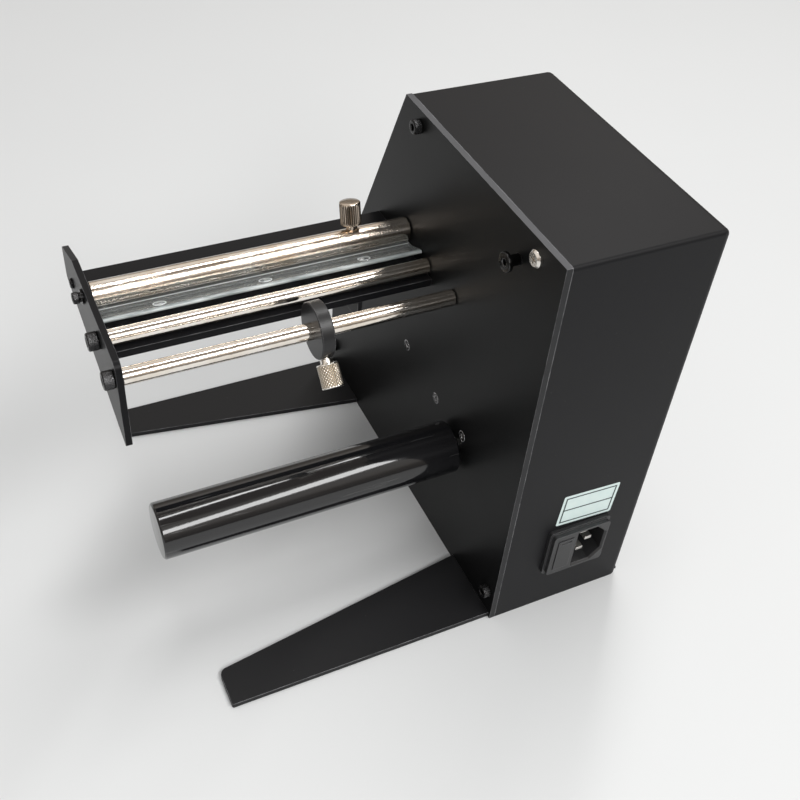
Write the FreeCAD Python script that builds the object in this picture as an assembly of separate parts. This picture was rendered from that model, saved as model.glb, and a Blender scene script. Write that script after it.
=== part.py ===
import FreeCAD, Part
import math
import os

# Automatic label dispenser. A closed drive box stands on two flat legs, and its side panel carries
# the peel platform, the pressure bar, two guide shafts and the motor-driven rewind roller.
# All sizes are millimetres. X runs along the shafts and is 0 on the outer face of the side panel.
# A forward distance runs from the rear face towards the front, which is -Y. Z is up from the floor.

# Drive box
depth = 220.0
height = 230.0
box_width = 81.0
slope_run = 76.0
front_height = 58.0
panel_thickness = 3.0
cover_wall = 1.5
cover_corner = 4.0
cover_bend = 2.0
floor_lift = 3.0
top_depth = depth - slope_run
slope_angle = math.degrees(math.atan2(height - front_height, slope_run))
box_middle = -box_width / 2

# Clearances
hole_clearance = 0.2
running_clearance = 0.05
moving_gap = 0.4

# Legs
leg_length = 141.5
leg_thickness = 3.0
leg_root = 41.5
leg_tip = 20.5
leg_inset = 1.8
leg_corner = 4.0
leg_tail = 70.0
leg_screw_size = 4.0
leg_screw_places = (-18.0, -58.0)

# Peel platform: its place sets the places of everything on the shafts
shaft_span = 159.0
platform_setback = 56.0
platform_drop = 77.4
platform_front = depth - platform_setback
platform_top = height - platform_drop
platform_length = 63.0
platform_rear = platform_front - platform_length
platform_thickness = 4.0
platform_bevel = 5.0
platform_lip = 0.8
platform_screw_size = 2.5
platform_screw_depth = 10.0
platform_screw_front_inset = 5.5
platform_screw_rear_inset = 16.0
platform_screw_places = (platform_front - platform_screw_front_inset, platform_rear + platform_screw_rear_inset)

# Guide shafts and end plate, from the platform's front edge and top face
guide_shaft_diameter = 8.0
shaft_chamfer = 0.5
front_shaft_setback = 57.4
front_shaft_rise = 4.3
front_shaft_forward = platform_front - front_shaft_setback
front_shaft_height = platform_top + front_shaft_rise
rear_shaft_setback = 85.0
rear_shaft_rise = 5.1
rear_shaft_forward = platform_front - rear_shaft_setback
rear_shaft_height = platform_top + rear_shaft_rise
shaft_screw_size = 5.0
end_plate_thickness = 3.0
end_plate_length = 103.0
end_plate_overhang = 12.0
end_plate_nose = 26.0
end_plate_rise = 17.0
end_plate_drop = 31.1
end_plate_tip_rise = 7.6
end_plate_tip_drop = 10.1
end_plate_front = platform_front + end_plate_overhang
end_plate_rear = end_plate_front - end_plate_length
end_plate_shoulder = end_plate_front - end_plate_nose
end_plate_bottom = platform_top - end_plate_drop
end_plate_top = platform_top + end_plate_rise
end_plate_tip_top = platform_top + end_plate_tip_rise
end_plate_tip_bottom = platform_top - end_plate_tip_drop
end_plate_corner = 5.0

# Pressure bar, from the same edge and face
bar_setback = 32.5
bar_rise = 10.1
bar_forward = platform_front - bar_setback
bar_height = platform_top + bar_rise
bar_rod_diameter = 8.0
bar_tube_diameter = 12.0
bar_end_gap = 0.4
bar_screw_size = 3.0
bar_slot_length = 9.0
washer_thickness = 1.0
spacer_length = 0.8
spacer_diameter = 4.6
strip_thickness = 1.8
strip_seat = 0.3
strip_overhang = 2.0
strip_flat = 8.9
strip_slope_run = 9.4
strip_front = bar_forward + strip_overhang
strip_trough = strip_front - strip_flat
strip_rear = strip_trough - strip_slope_run
strip_rise = 4.0
strip_hole_diameter = 5.5
strip_hole_pitch = 51.0
strip_screw_size = 2.5
thumb_head_diameter = 10.4
thumb_head_length = 11.5
thumb_neck_diameter = 6.0
thumb_neck_length = 2.0
thumb_thread_diameter = 4.0
bar_thumb_place = 30.0
bar_thumb_tilt = 15.0

# Label edge guide on the rear shaft
ring_diameter = 27.0
ring_width = 6.5
ring_place = 69.0
ring_thumb_tilt = 135.0

# Rewind roller
roller_forward = 60.0
roller_height = 75.0
roller_diameter = 27.6
roller_length = 153.4
roller_panel_gap = 2.6
roller_chamfer = 0.8
roller_shaft_diameter = 8.0
roller_shaft_depth = 40.0
bush_diameter = 11.0

# Gearbox
gear_pressure_angle = 25.0
gear_backlash = 0.16
drive_module = 0.8
drive_pinion_teeth = 12
drive_wheel_teeth = 26
input_module = 0.6
input_pinion_teeth = 12
input_wheel_teeth = 36
gear_steps = 3
gearbox_forward = 67.9
gearbox_screw_pitch = 29.7
gearbox_screw_rise = 25.6
gearbox_half_width = 21.5
gearbox_margin = 4.7
gearbox_plate_thickness = 2.0
gearbox_wall = 1.6
gearbox_post_diameter = 5.4
gearbox_screw_size = 3.0
drive_gear_width = 5.0
input_gear_width = 3.0
gear_side_gap = 0.6
idler_pin_diameter = 3.0
motor_diameter = 36.0
motor_length = 30.0
motor_cap_length = 4.0
motor_shaft_diameter = 3.0
motor_boss_diameter = 10.0
motor_boss_length = 1.2
motor_screw_pitch = 25.0

# Panel fasteners
cover_screw_size = 4.0
cover_screw_drop = 8.0
cover_screw_setback = 16.0
cover_screw_rear_inset = 19.5
cover_screw_front = (top_depth - cover_screw_setback, height - cover_screw_drop)
cover_screw_rear = (cover_screw_rear_inset, height - cover_screw_drop)
cover_screw_low_inset = 6.2
cover_screw_low_height = 17.5
cover_tab_size = 14.0
earth_screw_place = (119.0, 95.0)
stud_forward = 32.5
stud_drop = 17.5
stud_height = height - stud_drop
stud_disc_diameter = 9.0
stud_disc_thickness = 2.0
stud_neck_diameter = 5.0
stud_neck_length = 5.0

# Label sensor under the platform
sensor_place = 36.4
sensor_sheet = 2.5
sensor_flange = 12.0
sensor_flange_thickness = 1.2
sensor_bracket_height = 12.0
sensor_bracket_inset = 1.0
sensor_bracket_length = 46.0
sensor_width = 10.0
sensor_length = 18.0
sensor_height = 9.0
sensor_window = 4.0
sensor_screw_size = 2.5

# Mains inlet on the rear wall
inlet_centre_across = -43.4
inlet_centre_height = 44.2
inlet_width = 35.5
inlet_height = 31.8
inlet_flange = 2.0
inlet_step = 1.2
inlet_proud = 4.5
inlet_corner = 1.5
inlet_body_inset = 2.0
inlet_body_depth = 22.0
socket_centre_across = -50.1
socket_width = 16.8
socket_height = 25.4
socket_chamfer = 6.0
socket_lead = 0.9
socket_depth = 16.0
inlet_pin_length = 11.5
inlet_pin_width = 4.0
inlet_pin_thickness = 2.0
inlet_pin_pitch = 7.0
inlet_pin_offset = 4.0
tab_length = 8.0
drawer_across = -34.2
drawer_width = 9.0
drawer_height = 22.0
drawer_depth = 20.0
drawer_proud = 0.4
drawer_clearance = 0.3
fuse_diameter = 5.2
fuse_length = 20.0

# Controls on the sloped front face, placed by distance down the slope from its top edge
switch_along = 128.0
switch_width = 15.0
switch_height = 21.0
switch_bezel = 2.0
switch_wall = 1.4
switch_body_depth = 14.0
rocker_clearance = 0.3
rocker_end_gap = 0.8
rocker_rise = 2.2
rocker_dish = 1.3
rocker_tilt = 9.0
knob_along = 84.0
knob_diameter = 20.0
knob_length = 13.0
knob_gap = 0.8
knob_grooves = 18
pot_diameter = 16.0
pot_depth = 9.0
pot_bush_diameter = 7.0
pot_bush_length = 7.0
pot_shaft_diameter = 6.0
pot_shaft_length = 15.0
pot_nut_thickness = 2.0
lamp_along = 50.0
lamp_diameter = 8.0
lamp_bezel_diameter = 11.0
lamp_bezel_thickness = 1.6
lamp_depth = 14.0
lamp_dome = 2.0

# Electronics inside the box
board_length = 84.0
board_width = 64.0
board_thickness = 1.6
board_forward = 80.0
board_low = 70.0
board_hole_inset = 4.0
standoff_length = 6.0
standoff_diameter = 6.0
standoff_spigot = 4.2
board_screw_size = 3.0
part_gap = 2.0
terminal_length = 25.0
terminal_width = 8.0
terminal_height = 10.0
terminal_pitch = 5.0
terminal_ways = 5
relay_length = 20.0
relay_width = 15.5
relay_height = 15.0
relay_offset = 26.0
capacitor_diameter = 13.0
capacitor_height = 18.0
capacitor_offset = 18.0
transformer_core = (40.0, 48.0, 30.0)
transformer_coil = (30.0, 34.0, 38.0)
transformer_forward = 128.0
transformer_foot = 76.0
foot_thickness = 1.5
foot_width = 14.0

panel_inner = -panel_thickness
end_plate_inner = shaft_span
end_plate_outer = shaft_span + end_plate_thickness


# Placing helpers

def point(x, forward, z):
    """A point from its place along the shafts, its forward distance and its height."""
    return FreeCAD.Vector(x, -forward, z)


def aim(shape, position, direction):
    """Turn a shape that was built along +Z so that it runs along direction from position."""
    turned = shape.copy()
    turned.Placement = FreeCAD.Placement(position, FreeCAD.Rotation(FreeCAD.Vector(0, 0, 1), direction))
    return turned


def rod(x_start, x_end, forward, z, diameter):
    """A cylinder along X between two places."""
    return Part.makeCylinder(diameter / 2, x_end - x_start, point(x_start, forward, z), FreeCAD.Vector(1, 0, 0))


def block(x_start, x_end, forward_start, forward_end, z_start, z_end):
    """A box from its limits, with forward distances in place of Y."""
    corner = FreeCAD.Vector(x_start, -forward_end, z_start)
    return Part.makeBox(x_end - x_start, forward_end - forward_start, z_end - z_start, corner)


def rounded_face(corners, place):
    """A flat face from (u, v, radius) corners, each rounded by an arc where its radius isn't 0."""
    edges = []
    joints = []
    count = len(corners)
    for index, (u, v, radius) in enumerate(corners):
        before = corners[index - 1]
        after = corners[(index + 1) % count]
        here = place(u, v)
        if radius <= 0:
            joints.append((here, here))
            continue
        to_before = place(before[0], before[1]).sub(here)
        to_after = place(after[0], after[1]).sub(here)
        to_before.normalize()
        to_after.normalize()
        half = to_before.getAngle(to_after) / 2
        reach = radius / math.tan(half)
        bisector = to_before + to_after
        bisector.normalize()
        start = here + to_before * reach
        end = here + to_after * reach
        middle = here + bisector * (radius / math.sin(half) - radius)
        edges.append(Part.Arc(start, middle, end).toShape())
        joints.append((start, end))
    for index in range(count):
        leave = joints[index][1]
        arrive = joints[(index + 1) % count][0]
        if leave.distanceToPoint(arrive) > 1e-6:
            edges.append(Part.LineSegment(leave, arrive).toShape())
    return Part.Face(Part.Wire(Part.__sortEdges__(edges)))


def side_prism(corners, x_start, x_end):
    """A plate across X from (forward, z, radius) corners."""
    face = rounded_face(corners, lambda forward, z: point(x_start, forward, z))
    return face.extrude(FreeCAD.Vector(x_end - x_start, 0, 0))


def floor_prism(corners, z_start, z_end):
    """A plate across Z from (x, forward, radius) corners."""
    face = rounded_face(corners, lambda x, forward: point(x, forward, z_start))
    return face.extrude(FreeCAD.Vector(0, 0, z_end - z_start))


def box_outline(inset):
    """The drive box seen from the side, moved inwards by inset on every edge."""
    slope = math.radians(slope_angle)
    lean = inset * (1 - math.cos(slope)) / math.sin(slope)
    foot_lean = inset * math.tan((math.pi / 2 - slope) / 2)
    return [
        (inset, inset, 0),
        (depth - inset, inset, 0),
        (depth - inset, front_height - foot_lean, 0),
        (top_depth - lean, height - inset, 0),
        (inset, height - inset, 0),
    ]


def on_slope(shape, along, across, tilt=0.0):
    """Put a shape built on the XY plane onto the sloped front face, with its +Z outwards."""
    slope = math.radians(slope_angle)
    forward = top_depth + along * math.cos(slope)
    z = height - along * math.sin(slope)
    placed = shape.copy()
    turn = FreeCAD.Rotation(FreeCAD.Vector(1, 0, 0), slope_angle + tilt)
    placed.Placement = FreeCAD.Placement(point(across, forward, z), turn)
    return placed


# Fasteners, each built with its seat on Z = 0, its head above and its shank below

def hexagon(across_flats, length, z_start):
    """A hexagonal prism along Z."""
    radius = across_flats / math.sqrt(3)
    corners = []
    for index in range(7):
        angle = math.radians(60 * index)
        corners.append(FreeCAD.Vector(radius * math.cos(angle), radius * math.sin(angle), z_start))
    return Part.Face(Part.makePolygon(corners)).extrude(FreeCAD.Vector(0, 0, length))


def socket_screw(size, length):
    """A socket-head cap screw, whose head is one and a half sizes and a millimetre across."""
    head = Part.makeCylinder((1.5 * size + 1.0) / 2, size)
    head = head.makeChamfer(size * 0.08, [edge for edge in head.Edges if edge.BoundBox.ZMin > size - 0.01])
    socket = hexagon(size * 0.8, size * 0.55, size * 0.5)
    shank = Part.makeCylinder(size / 2, length, FreeCAD.Vector(0, 0, -length))
    return head.cut(socket).fuse(shank).removeSplitter()


def cross_recess(size, top):
    """The cross slot in a screw head, cut from its top face."""
    depth_cut = size * 0.35
    long_side = size * 1.0
    short_side = size * 0.22
    first = Part.makeBox(long_side, short_side, depth_cut,
                         FreeCAD.Vector(-long_side / 2, -short_side / 2, top - depth_cut))
    second = Part.makeBox(short_side, long_side, depth_cut,
                          FreeCAD.Vector(-short_side / 2, -long_side / 2, top - depth_cut))
    return first.fuse(second)


def pan_screw(size, length):
    """A pan-head screw."""
    head_height = size * 0.6
    head = Part.makeCylinder(size, head_height)
    rim = [edge for edge in head.Edges if edge.BoundBox.ZMin > head_height - 0.01]
    shank = Part.makeCylinder(size / 2, length, FreeCAD.Vector(0, 0, -length))
    return head.makeChamfer(head_height * 0.4, rim).fuse(shank)


def cross_screw(size, length):
    """A pan-head screw with a cross recess."""
    return pan_screw(size, length).cut(cross_recess(size, size * 0.6))


def sunk_cone(size, extra=0.0):
    """The conical head of a countersunk screw, flush with Z = 0, or its seat with extra width."""
    head_depth = size * 0.5
    return Part.makeCone(size / 2 + extra, size + extra, head_depth, FreeCAD.Vector(0, 0, -head_depth))


def sunk_screw(size, length):
    """A cross-recess countersunk screw, flush with Z = 0."""
    shank = Part.makeCylinder(size / 2, length, FreeCAD.Vector(0, 0, -length))
    return sunk_cone(size).fuse(shank).cut(cross_recess(size, 0))


def nut(size, thickness):
    """A hexagonal nut whose seat is on Z = 0, threaded on a screw of the given size."""
    return hexagon(size * 1.75, thickness, 0).cut(Part.makeCylinder(size / 2, thickness))


def thumb_screw(thread_length):
    """A thumb screw: a tall head over a short neck that stops on Z = 0."""
    head = Part.makeCylinder(thumb_head_diameter / 2, thumb_head_length, FreeCAD.Vector(0, 0, thumb_neck_length))
    rims = [edge for edge in head.Edges if edge.BoundBox.ZLength < 0.01]
    head = head.makeChamfer(0.5, rims)
    neck = Part.makeCylinder(thumb_neck_diameter / 2, thumb_neck_length)
    thread = Part.makeCylinder(thumb_thread_diameter / 2, thread_length, FreeCAD.Vector(0, 0, -thread_length))
    return head.fuse(neck).fuse(thread)


# Places that several pieces share

def leg_ranges():
    """The forward limits of the two leg roots, the rear leg first."""
    return [(leg_inset, leg_inset + leg_root), (depth - leg_inset - leg_root, depth - leg_inset)]


def leg_screw_points():
    """Each leg is held from below at two places under the box."""
    return [(x, (start + end) / 2) for start, end in leg_ranges() for x in leg_screw_places]


def cover_screw_points():
    """The cap screws of the cover, and the place of its cross-recess screw last."""
    low_rear = (cover_screw_low_inset, cover_screw_low_height)
    low_front = (depth - cover_screw_low_inset, cover_screw_low_height)
    return [cover_screw_front, low_rear, low_front, cover_screw_rear]


def gearbox_screw_points():
    """Two screws above the roller and one below it."""
    high = roller_height + gearbox_screw_rise / 2
    low = roller_height - gearbox_screw_rise / 2
    half_pitch = gearbox_screw_pitch / 2
    return [(gearbox_forward - half_pitch, high), (gearbox_forward + half_pitch, high), (gearbox_forward, low)]


def centre_distance(module, first_teeth, second_teeth):
    """How far apart two meshed gears stand."""
    return module * (first_teeth + second_teeth) / 2


def idler_place():
    """The idler stands above the gearbox middle, in mesh with the wheel on the roller shaft."""
    reach = centre_distance(drive_module, drive_pinion_teeth, drive_wheel_teeth)
    side = gearbox_forward - roller_forward
    return gearbox_forward, roller_height + math.sqrt(reach ** 2 - side ** 2)


def motor_place():
    """The motor pinion is straight below the idler."""
    forward, z = idler_place()
    return forward, z - centre_distance(input_module, input_pinion_teeth, input_wheel_teeth)


# Gearbox layers along X, from the panel inwards
gearbox_front = panel_inner
drive_layer = gearbox_front - gearbox_plate_thickness - gear_side_gap
input_layer = drive_layer - drive_gear_width - gear_side_gap
gearbox_back_inner = input_layer - input_gear_width - gear_side_gap
gearbox_back = gearbox_back_inner - gearbox_plate_thickness


# Box pieces

def side_panel():
    """The thick plate that carries everything, with the box outline."""
    plate = side_prism(box_outline(0), panel_inner, 0)
    for start, end in leg_ranges():
        plate = plate.cut(block(panel_inner - 1, 1, start - hole_clearance, end + hole_clearance,
                                -1, leg_thickness))
    bores = []
    for forward, z in cover_screw_points():
        bores.append(rod(panel_inner - 1, 1, forward, z, cover_screw_size + 2 * hole_clearance))
    for forward, z in ((front_shaft_forward, front_shaft_height), (rear_shaft_forward, rear_shaft_height)):
        bores.append(rod(panel_inner - 1, 1, forward, z, shaft_screw_size + 2 * hole_clearance))
    bores.append(rod(panel_inner - 1, 1, bar_forward, bar_height, bar_screw_size + 2 * hole_clearance))
    bores.append(rod(panel_inner - 1, 1, stud_forward, stud_height, stud_neck_diameter + 2 * hole_clearance))
    bores.append(rod(panel_inner - 1, 1, roller_forward, roller_height, bush_diameter))
    for forward, z in gearbox_screw_points() + [earth_screw_place]:
        bores.append(rod(panel_inner - 1, 1, forward, z, gearbox_screw_size + 2 * hole_clearance))
        bores.append(aim(sunk_cone(gearbox_screw_size), point(0, forward, z), FreeCAD.Vector(1, 0, 0)))
    for forward in platform_screw_places:
        bores.append(rod(panel_inner - 1, 1, forward, platform_middle(), platform_screw_size + 2 * hole_clearance))
    return plate.cut(Part.makeCompound(bores))


def bent_block(inset, far, bend, corner):
    """The cover's solid outline, with its folds rounded by bend and its far edges by corner."""
    body = side_prism(box_outline(inset), far, panel_inner)
    folds = [edge for edge in body.Edges if edge.BoundBox.XLength > 1 and edge.BoundBox.ZMin > front_height / 2]
    body = body.makeFillet(bend, folds)
    far_edges = [edge for edge in body.Edges if edge.BoundBox.XMax < far + 0.01 and edge.BoundBox.ZMax > inset + 0.01]
    return body.makeFillet(corner, far_edges)


def cover():
    """A folded and welded sheet box, open towards the panel, with a floor that stands on the legs."""
    shell = bent_block(0, -box_width, cover_bend, cover_corner)
    shell = shell.cut(bent_block(cover_wall, -box_width + cover_wall, cover_bend - cover_wall, cover_corner - cover_wall))
    floor = block(-box_width + cover_wall / 2, panel_inner, cover_wall / 2, depth - cover_wall / 2,
                  floor_lift, floor_lift + cover_wall)
    below = block(-box_width - 1, panel_inner, cover_wall, depth - cover_wall, -1, floor_lift)
    shell = shell.fuse(floor).cut(below).cut(low_far_corner())
    for forward, z in cover_screw_points():
        shell = shell.fuse(cover_tab(forward, z))
    cuts = []
    for forward, z in cover_screw_points():
        cuts.append(rod(panel_inner - cover_wall - 1, panel_inner + 1, forward, z,
                        cover_screw_size + 2 * hole_clearance))
    for x, forward in leg_screw_points():
        cuts.append(Part.makeCylinder(leg_screw_size / 2 + hole_clearance, 2 * floor_lift + cover_wall,
                                      point(x, forward, -1)))
    cuts.append(inlet_cutout())
    cuts.append(on_slope(centred_box(switch_width - 2 * switch_wall + 0.1, switch_height - 2 * switch_wall + 0.1,
                                     -2 * cover_wall, cover_wall), switch_along, box_middle))
    for diameter, along in ((pot_bush_diameter, knob_along), (lamp_diameter, lamp_along)):
        hole = Part.makeCylinder(diameter / 2 + hole_clearance, 3 * cover_wall, FreeCAD.Vector(0, 0, -2 * cover_wall))
        cuts.append(on_slope(hole, along, box_middle))
    for start, end in leg_ranges():
        cuts.append(block(-leg_tail - hole_clearance, panel_inner + 1, start - hole_clearance,
                          end + hole_clearance, -1, floor_lift))
    for x, forward in transformer_screw_points():
        cuts.append(Part.makeCylinder(board_screw_size / 2, 4 * cover_wall,
                                      point(x, forward, floor_lift - cover_wall)))
    for forward, z in board_screw_points():
        cuts.append(rod(-box_width - 1, -box_width + cover_wall + 1, forward, z, standoff_spigot))
    return shell.cut(Part.makeCompound(cuts)).removeSplitter()


def low_far_corner():
    """What is cut from the cover to round its lower edge on the far side."""
    corner = block(-box_width - 1, -box_width + cover_corner, -1, depth + 1, -1, cover_corner)
    curve = Part.makeCylinder(cover_corner, depth + 2, point(-box_width + cover_corner, depth + 1, cover_corner),
                              FreeCAD.Vector(0, 1, 0))
    return corner.cut(curve)


def cover_tab(forward, z):
    """A tab inside the cover's open edge, from the nearest wall to just past one panel screw."""
    reach = cover_tab_size / 2
    low, high = (z - reach, height) if z > height / 2 else (floor_lift, z + reach)
    tab = block(panel_inner - cover_wall, panel_inner, forward - reach, forward + reach, low, high)
    return tab.common(side_prism(box_outline(cover_wall / 2), panel_inner - cover_wall, panel_inner))


def leg(outer, inner_root, inner_tip):
    """A flat leg: its outer edge is straight, its inner edge tapers, and its tail runs under the box."""
    corners = [
        (-leg_tail, outer, 0),
        (leg_length, outer, 1.0),
        (leg_length, inner_tip, leg_corner),
        (0, inner_root, 0),
        (-leg_tail, inner_root, 0),
    ]
    plate = floor_prism(corners, 0, leg_thickness)
    for x, forward in leg_screw_points():
        if min(outer, inner_root) < forward < max(outer, inner_root):
            seat = aim(sunk_cone(leg_screw_size), point(x, forward, 0), FreeCAD.Vector(0, 0, -1))
            hole = Part.makeCylinder(leg_screw_size / 2 + hole_clearance, leg_thickness + 2, point(x, forward, -1))
            plate = plate.cut(seat).cut(hole)
    return plate


def rear_leg():
    start, end = leg_ranges()[0]
    return leg(start, end, start + leg_tip)


def front_leg():
    start, end = leg_ranges()[1]
    return leg(end, start, end - leg_tip)


def leg_screws():
    """Countersunk screws from below, through the legs and the cover's floor."""
    screw = sunk_screw(leg_screw_size, leg_thickness + cover_wall + leg_screw_size)
    return [aim(screw, point(x, forward, 0), FreeCAD.Vector(0, 0, -1)) for x, forward in leg_screw_points()]


def leg_nuts():
    thickness = leg_screw_size * 0.8
    return [aim(nut(leg_screw_size, thickness), point(x, forward, floor_lift + cover_wall), FreeCAD.Vector(0, 0, 1))
            for x, forward in leg_screw_points()]


def cover_screws():
    """Black socket-head cap screws from the panel into the cover's tabs."""
    screw = socket_screw(cover_screw_size, panel_thickness + cover_wall + cover_screw_size)
    return [aim(screw, point(0, forward, z), FreeCAD.Vector(1, 0, 0)) for forward, z in cover_screw_points()[:3]]


def cover_cross_screw():
    """The fourth screw of the cover is a bright cross-recess one."""
    forward, z = cover_screw_points()[3]
    screw = cross_screw(cover_screw_size, panel_thickness + cover_wall + cover_screw_size)
    return aim(screw, point(0, forward, z), FreeCAD.Vector(1, 0, 0))


def cover_nuts():
    """Weld nuts on the inner faces of the tabs."""
    thickness = cover_screw_size * 0.8
    return [aim(nut(cover_screw_size, thickness), point(panel_inner - cover_wall, forward, z), FreeCAD.Vector(-1, 0, 0))
            for forward, z in cover_screw_points()]


def holder_stud():
    """The mushroom stud on which a label roll holder hangs: a disc on a neck."""
    profile = [
        (0, -panel_thickness - 4.0),
        (stud_neck_diameter / 2, -panel_thickness - 4.0),
        (stud_neck_diameter / 2, stud_neck_length),
        (stud_disc_diameter / 2, stud_neck_length),
        (stud_disc_diameter / 2, stud_neck_length + stud_disc_thickness - 0.5),
        (stud_disc_diameter / 2 - 0.5, stud_neck_length + stud_disc_thickness),
        (0, stud_neck_length + stud_disc_thickness),
    ]
    wire = Part.makePolygon([FreeCAD.Vector(r, 0, z) for r, z in profile + profile[:1]])
    body = Part.Face(wire).revolve(FreeCAD.Vector(0, 0, 0), FreeCAD.Vector(0, 0, 1), 360)
    top = stud_neck_length + stud_disc_thickness
    body = body.cut(hexagon(3.0, 2.5, top - 2.5))
    return aim(body, point(0, stud_forward, stud_height), FreeCAD.Vector(1, 0, 0))


def panel_nuts():
    """The nuts inside the panel, of the stud and of the earth screw."""
    forward, z = earth_screw_place
    inwards = FreeCAD.Vector(-1, 0, 0)
    return [
        aim(nut(stud_neck_diameter, 3.0), point(panel_inner, stud_forward, stud_height), inwards),
        aim(nut(gearbox_screw_size, gearbox_screw_size * 0.8), point(panel_inner, forward, z), inwards),
    ]


# Shafts, end plate and platform

def end_plate_corners():
    """The end plate seen from the side: level top, sloping nose, and a long slanted lower edge."""
    return [
        (end_plate_rear, end_plate_bottom, 1.0),
        (end_plate_front, end_plate_tip_bottom, 1.5),
        (end_plate_front, end_plate_tip_top, 1.5),
        (end_plate_shoulder, end_plate_top, 1.5),
        (end_plate_rear, end_plate_top, end_plate_corner),
    ]


def end_plate():
    plate = side_prism(end_plate_corners(), end_plate_inner, end_plate_outer)
    cuts = []
    for forward, z in ((front_shaft_forward, front_shaft_height), (rear_shaft_forward, rear_shaft_height)):
        cuts.append(rod(end_plate_inner - 1, end_plate_outer + 1, forward, z, shaft_screw_size + 2 * hole_clearance))
    cuts.append(bar_slot())
    for forward in platform_screw_places:
        cuts.append(rod(end_plate_inner - 1, end_plate_outer + 1, forward, platform_middle(),
                        platform_screw_size + 2 * hole_clearance))
    return plate.cut(Part.makeCompound(cuts))


def bar_slot():
    """The upright slot in which the pressure bar's end screw is set for height."""
    radius = bar_screw_size / 2 + hole_clearance
    reach = bar_slot_length / 2 - radius
    middle = bar_height
    slot = block(end_plate_inner - 1, end_plate_outer + 1, bar_forward - radius, bar_forward + radius,
                 middle - reach, middle + reach)
    for level in (-1, 1):
        slot = slot.fuse(rod(end_plate_inner - 1, end_plate_outer + 1, bar_forward, middle + level * reach, 2 * radius))
    return slot


def guide_shaft(forward, z):
    """A plated shaft between panel and end plate, tapped at both ends."""
    shaft = rod(0, end_plate_inner, forward, z, guide_shaft_diameter)
    shaft = shaft.makeChamfer(shaft_chamfer, [edge for edge in shaft.Edges if edge.BoundBox.XLength < 0.01])
    depth_tapped = 2.5 * shaft_screw_size
    for start, end in ((0, depth_tapped), (end_plate_inner - depth_tapped, end_plate_inner)):
        shaft = shaft.cut(rod(start, end, forward, z, shaft_screw_size))
    return shaft


def front_guide_shaft():
    return guide_shaft(front_shaft_forward, front_shaft_height)


def rear_guide_shaft():
    return guide_shaft(rear_shaft_forward, rear_shaft_height)


def shaft_screws():
    """Cap screws that hold both guide shafts, outside the end plate and inside the box."""
    screws = []
    for forward, z in ((front_shaft_forward, front_shaft_height), (rear_shaft_forward, rear_shaft_height)):
        for x, direction, wall in ((end_plate_outer, 1, end_plate_thickness), (panel_inner, -1, panel_thickness)):
            screw = socket_screw(shaft_screw_size, wall + 2 * shaft_screw_size)
            screws.append(aim(screw, point(x, forward, z), FreeCAD.Vector(direction, 0, 0)))
    return screws


def peel_platform():
    """The flat plate over which the liner turns, with its front edge thinned from below."""
    bottom = platform_top - platform_thickness
    corners = [
        (platform_rear, bottom, 0),
        (platform_front - platform_bevel, bottom, 0),
        (platform_front, platform_top - platform_lip, 0.3),
        (platform_front, platform_top, 0.3),
        (platform_rear, platform_top, 0),
    ]
    plate = side_prism(corners, 0, end_plate_inner)
    cuts = []
    for forward in platform_screw_places:
        for start, end in ((0, platform_screw_depth), (end_plate_inner - platform_screw_depth, end_plate_inner)):
            cuts.append(rod(start, end, forward, platform_middle(), platform_screw_size))
    for forward in sensor_bracket_screws():
        cuts.append(Part.makeCylinder(sensor_screw_size / 2, platform_thickness * 0.7,
                                      point(sensor_flange_middle(), forward, bottom)))
    return plate.cut(Part.makeCompound(cuts))


def platform_middle():
    """The height of the platform's mid plane, where its edge screws are."""
    return platform_top - platform_thickness / 2


def platform_screws():
    """Pan-head screws through the panel and the end plate into the platform's edges."""
    screws = []
    for x, outwards, wall in ((panel_inner, -1, panel_thickness), (end_plate_outer, 1, end_plate_thickness)):
        screw = pan_screw(platform_screw_size, wall + platform_screw_depth)
        for forward in platform_screw_places:
            screws.append(aim(screw, point(x, forward, platform_middle()), FreeCAD.Vector(outwards, 0, 0)))
    return screws


# Label sensor

def sensor_span():
    """The forward limits of the sensor's bracket."""
    start = platform_rear + sensor_bracket_inset
    return start, start + sensor_bracket_length


def sensor_flange_middle():
    return sensor_place + (sensor_sheet + sensor_flange) / 2


def sensor_bracket_screws():
    """Where the bracket is screwed to the platform: near its two ends."""
    start, end = sensor_span()
    return [start + sensor_flange / 2, end - sensor_flange / 2]


def sensor_middle():
    """The sensor sits half-way between the bracket's screws."""
    start, end = sensor_span()
    return (start + end) / 2


def sensor_side_height():
    """The height of the screw that holds the sensor to the upright."""
    return platform_top - platform_thickness - (sensor_bracket_height + sensor_flange_thickness) / 2


def sensor_bracket():
    """An angle of sheet under the platform: a thin flange and a stiff upright."""
    start, end = sensor_span()
    top = platform_top - platform_thickness
    upright = block(sensor_place, sensor_place + sensor_sheet, start, end, top - sensor_bracket_height, top)
    flange = block(sensor_place, sensor_place + sensor_flange, start, end, top - sensor_flange_thickness, top)
    cuts = [Part.makeCylinder(sensor_screw_size / 2 + hole_clearance, 4 * sensor_flange_thickness,
                              point(sensor_flange_middle(), forward, top - 2 * sensor_flange_thickness))
            for forward in sensor_bracket_screws()]
    cuts.append(rod(sensor_place - 1, sensor_place + sensor_sheet + 1, sensor_middle(), sensor_side_height(),
                    sensor_screw_size + 2 * hole_clearance))
    return upright.fuse(flange).removeSplitter().cut(Part.makeCompound(cuts))


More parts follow.
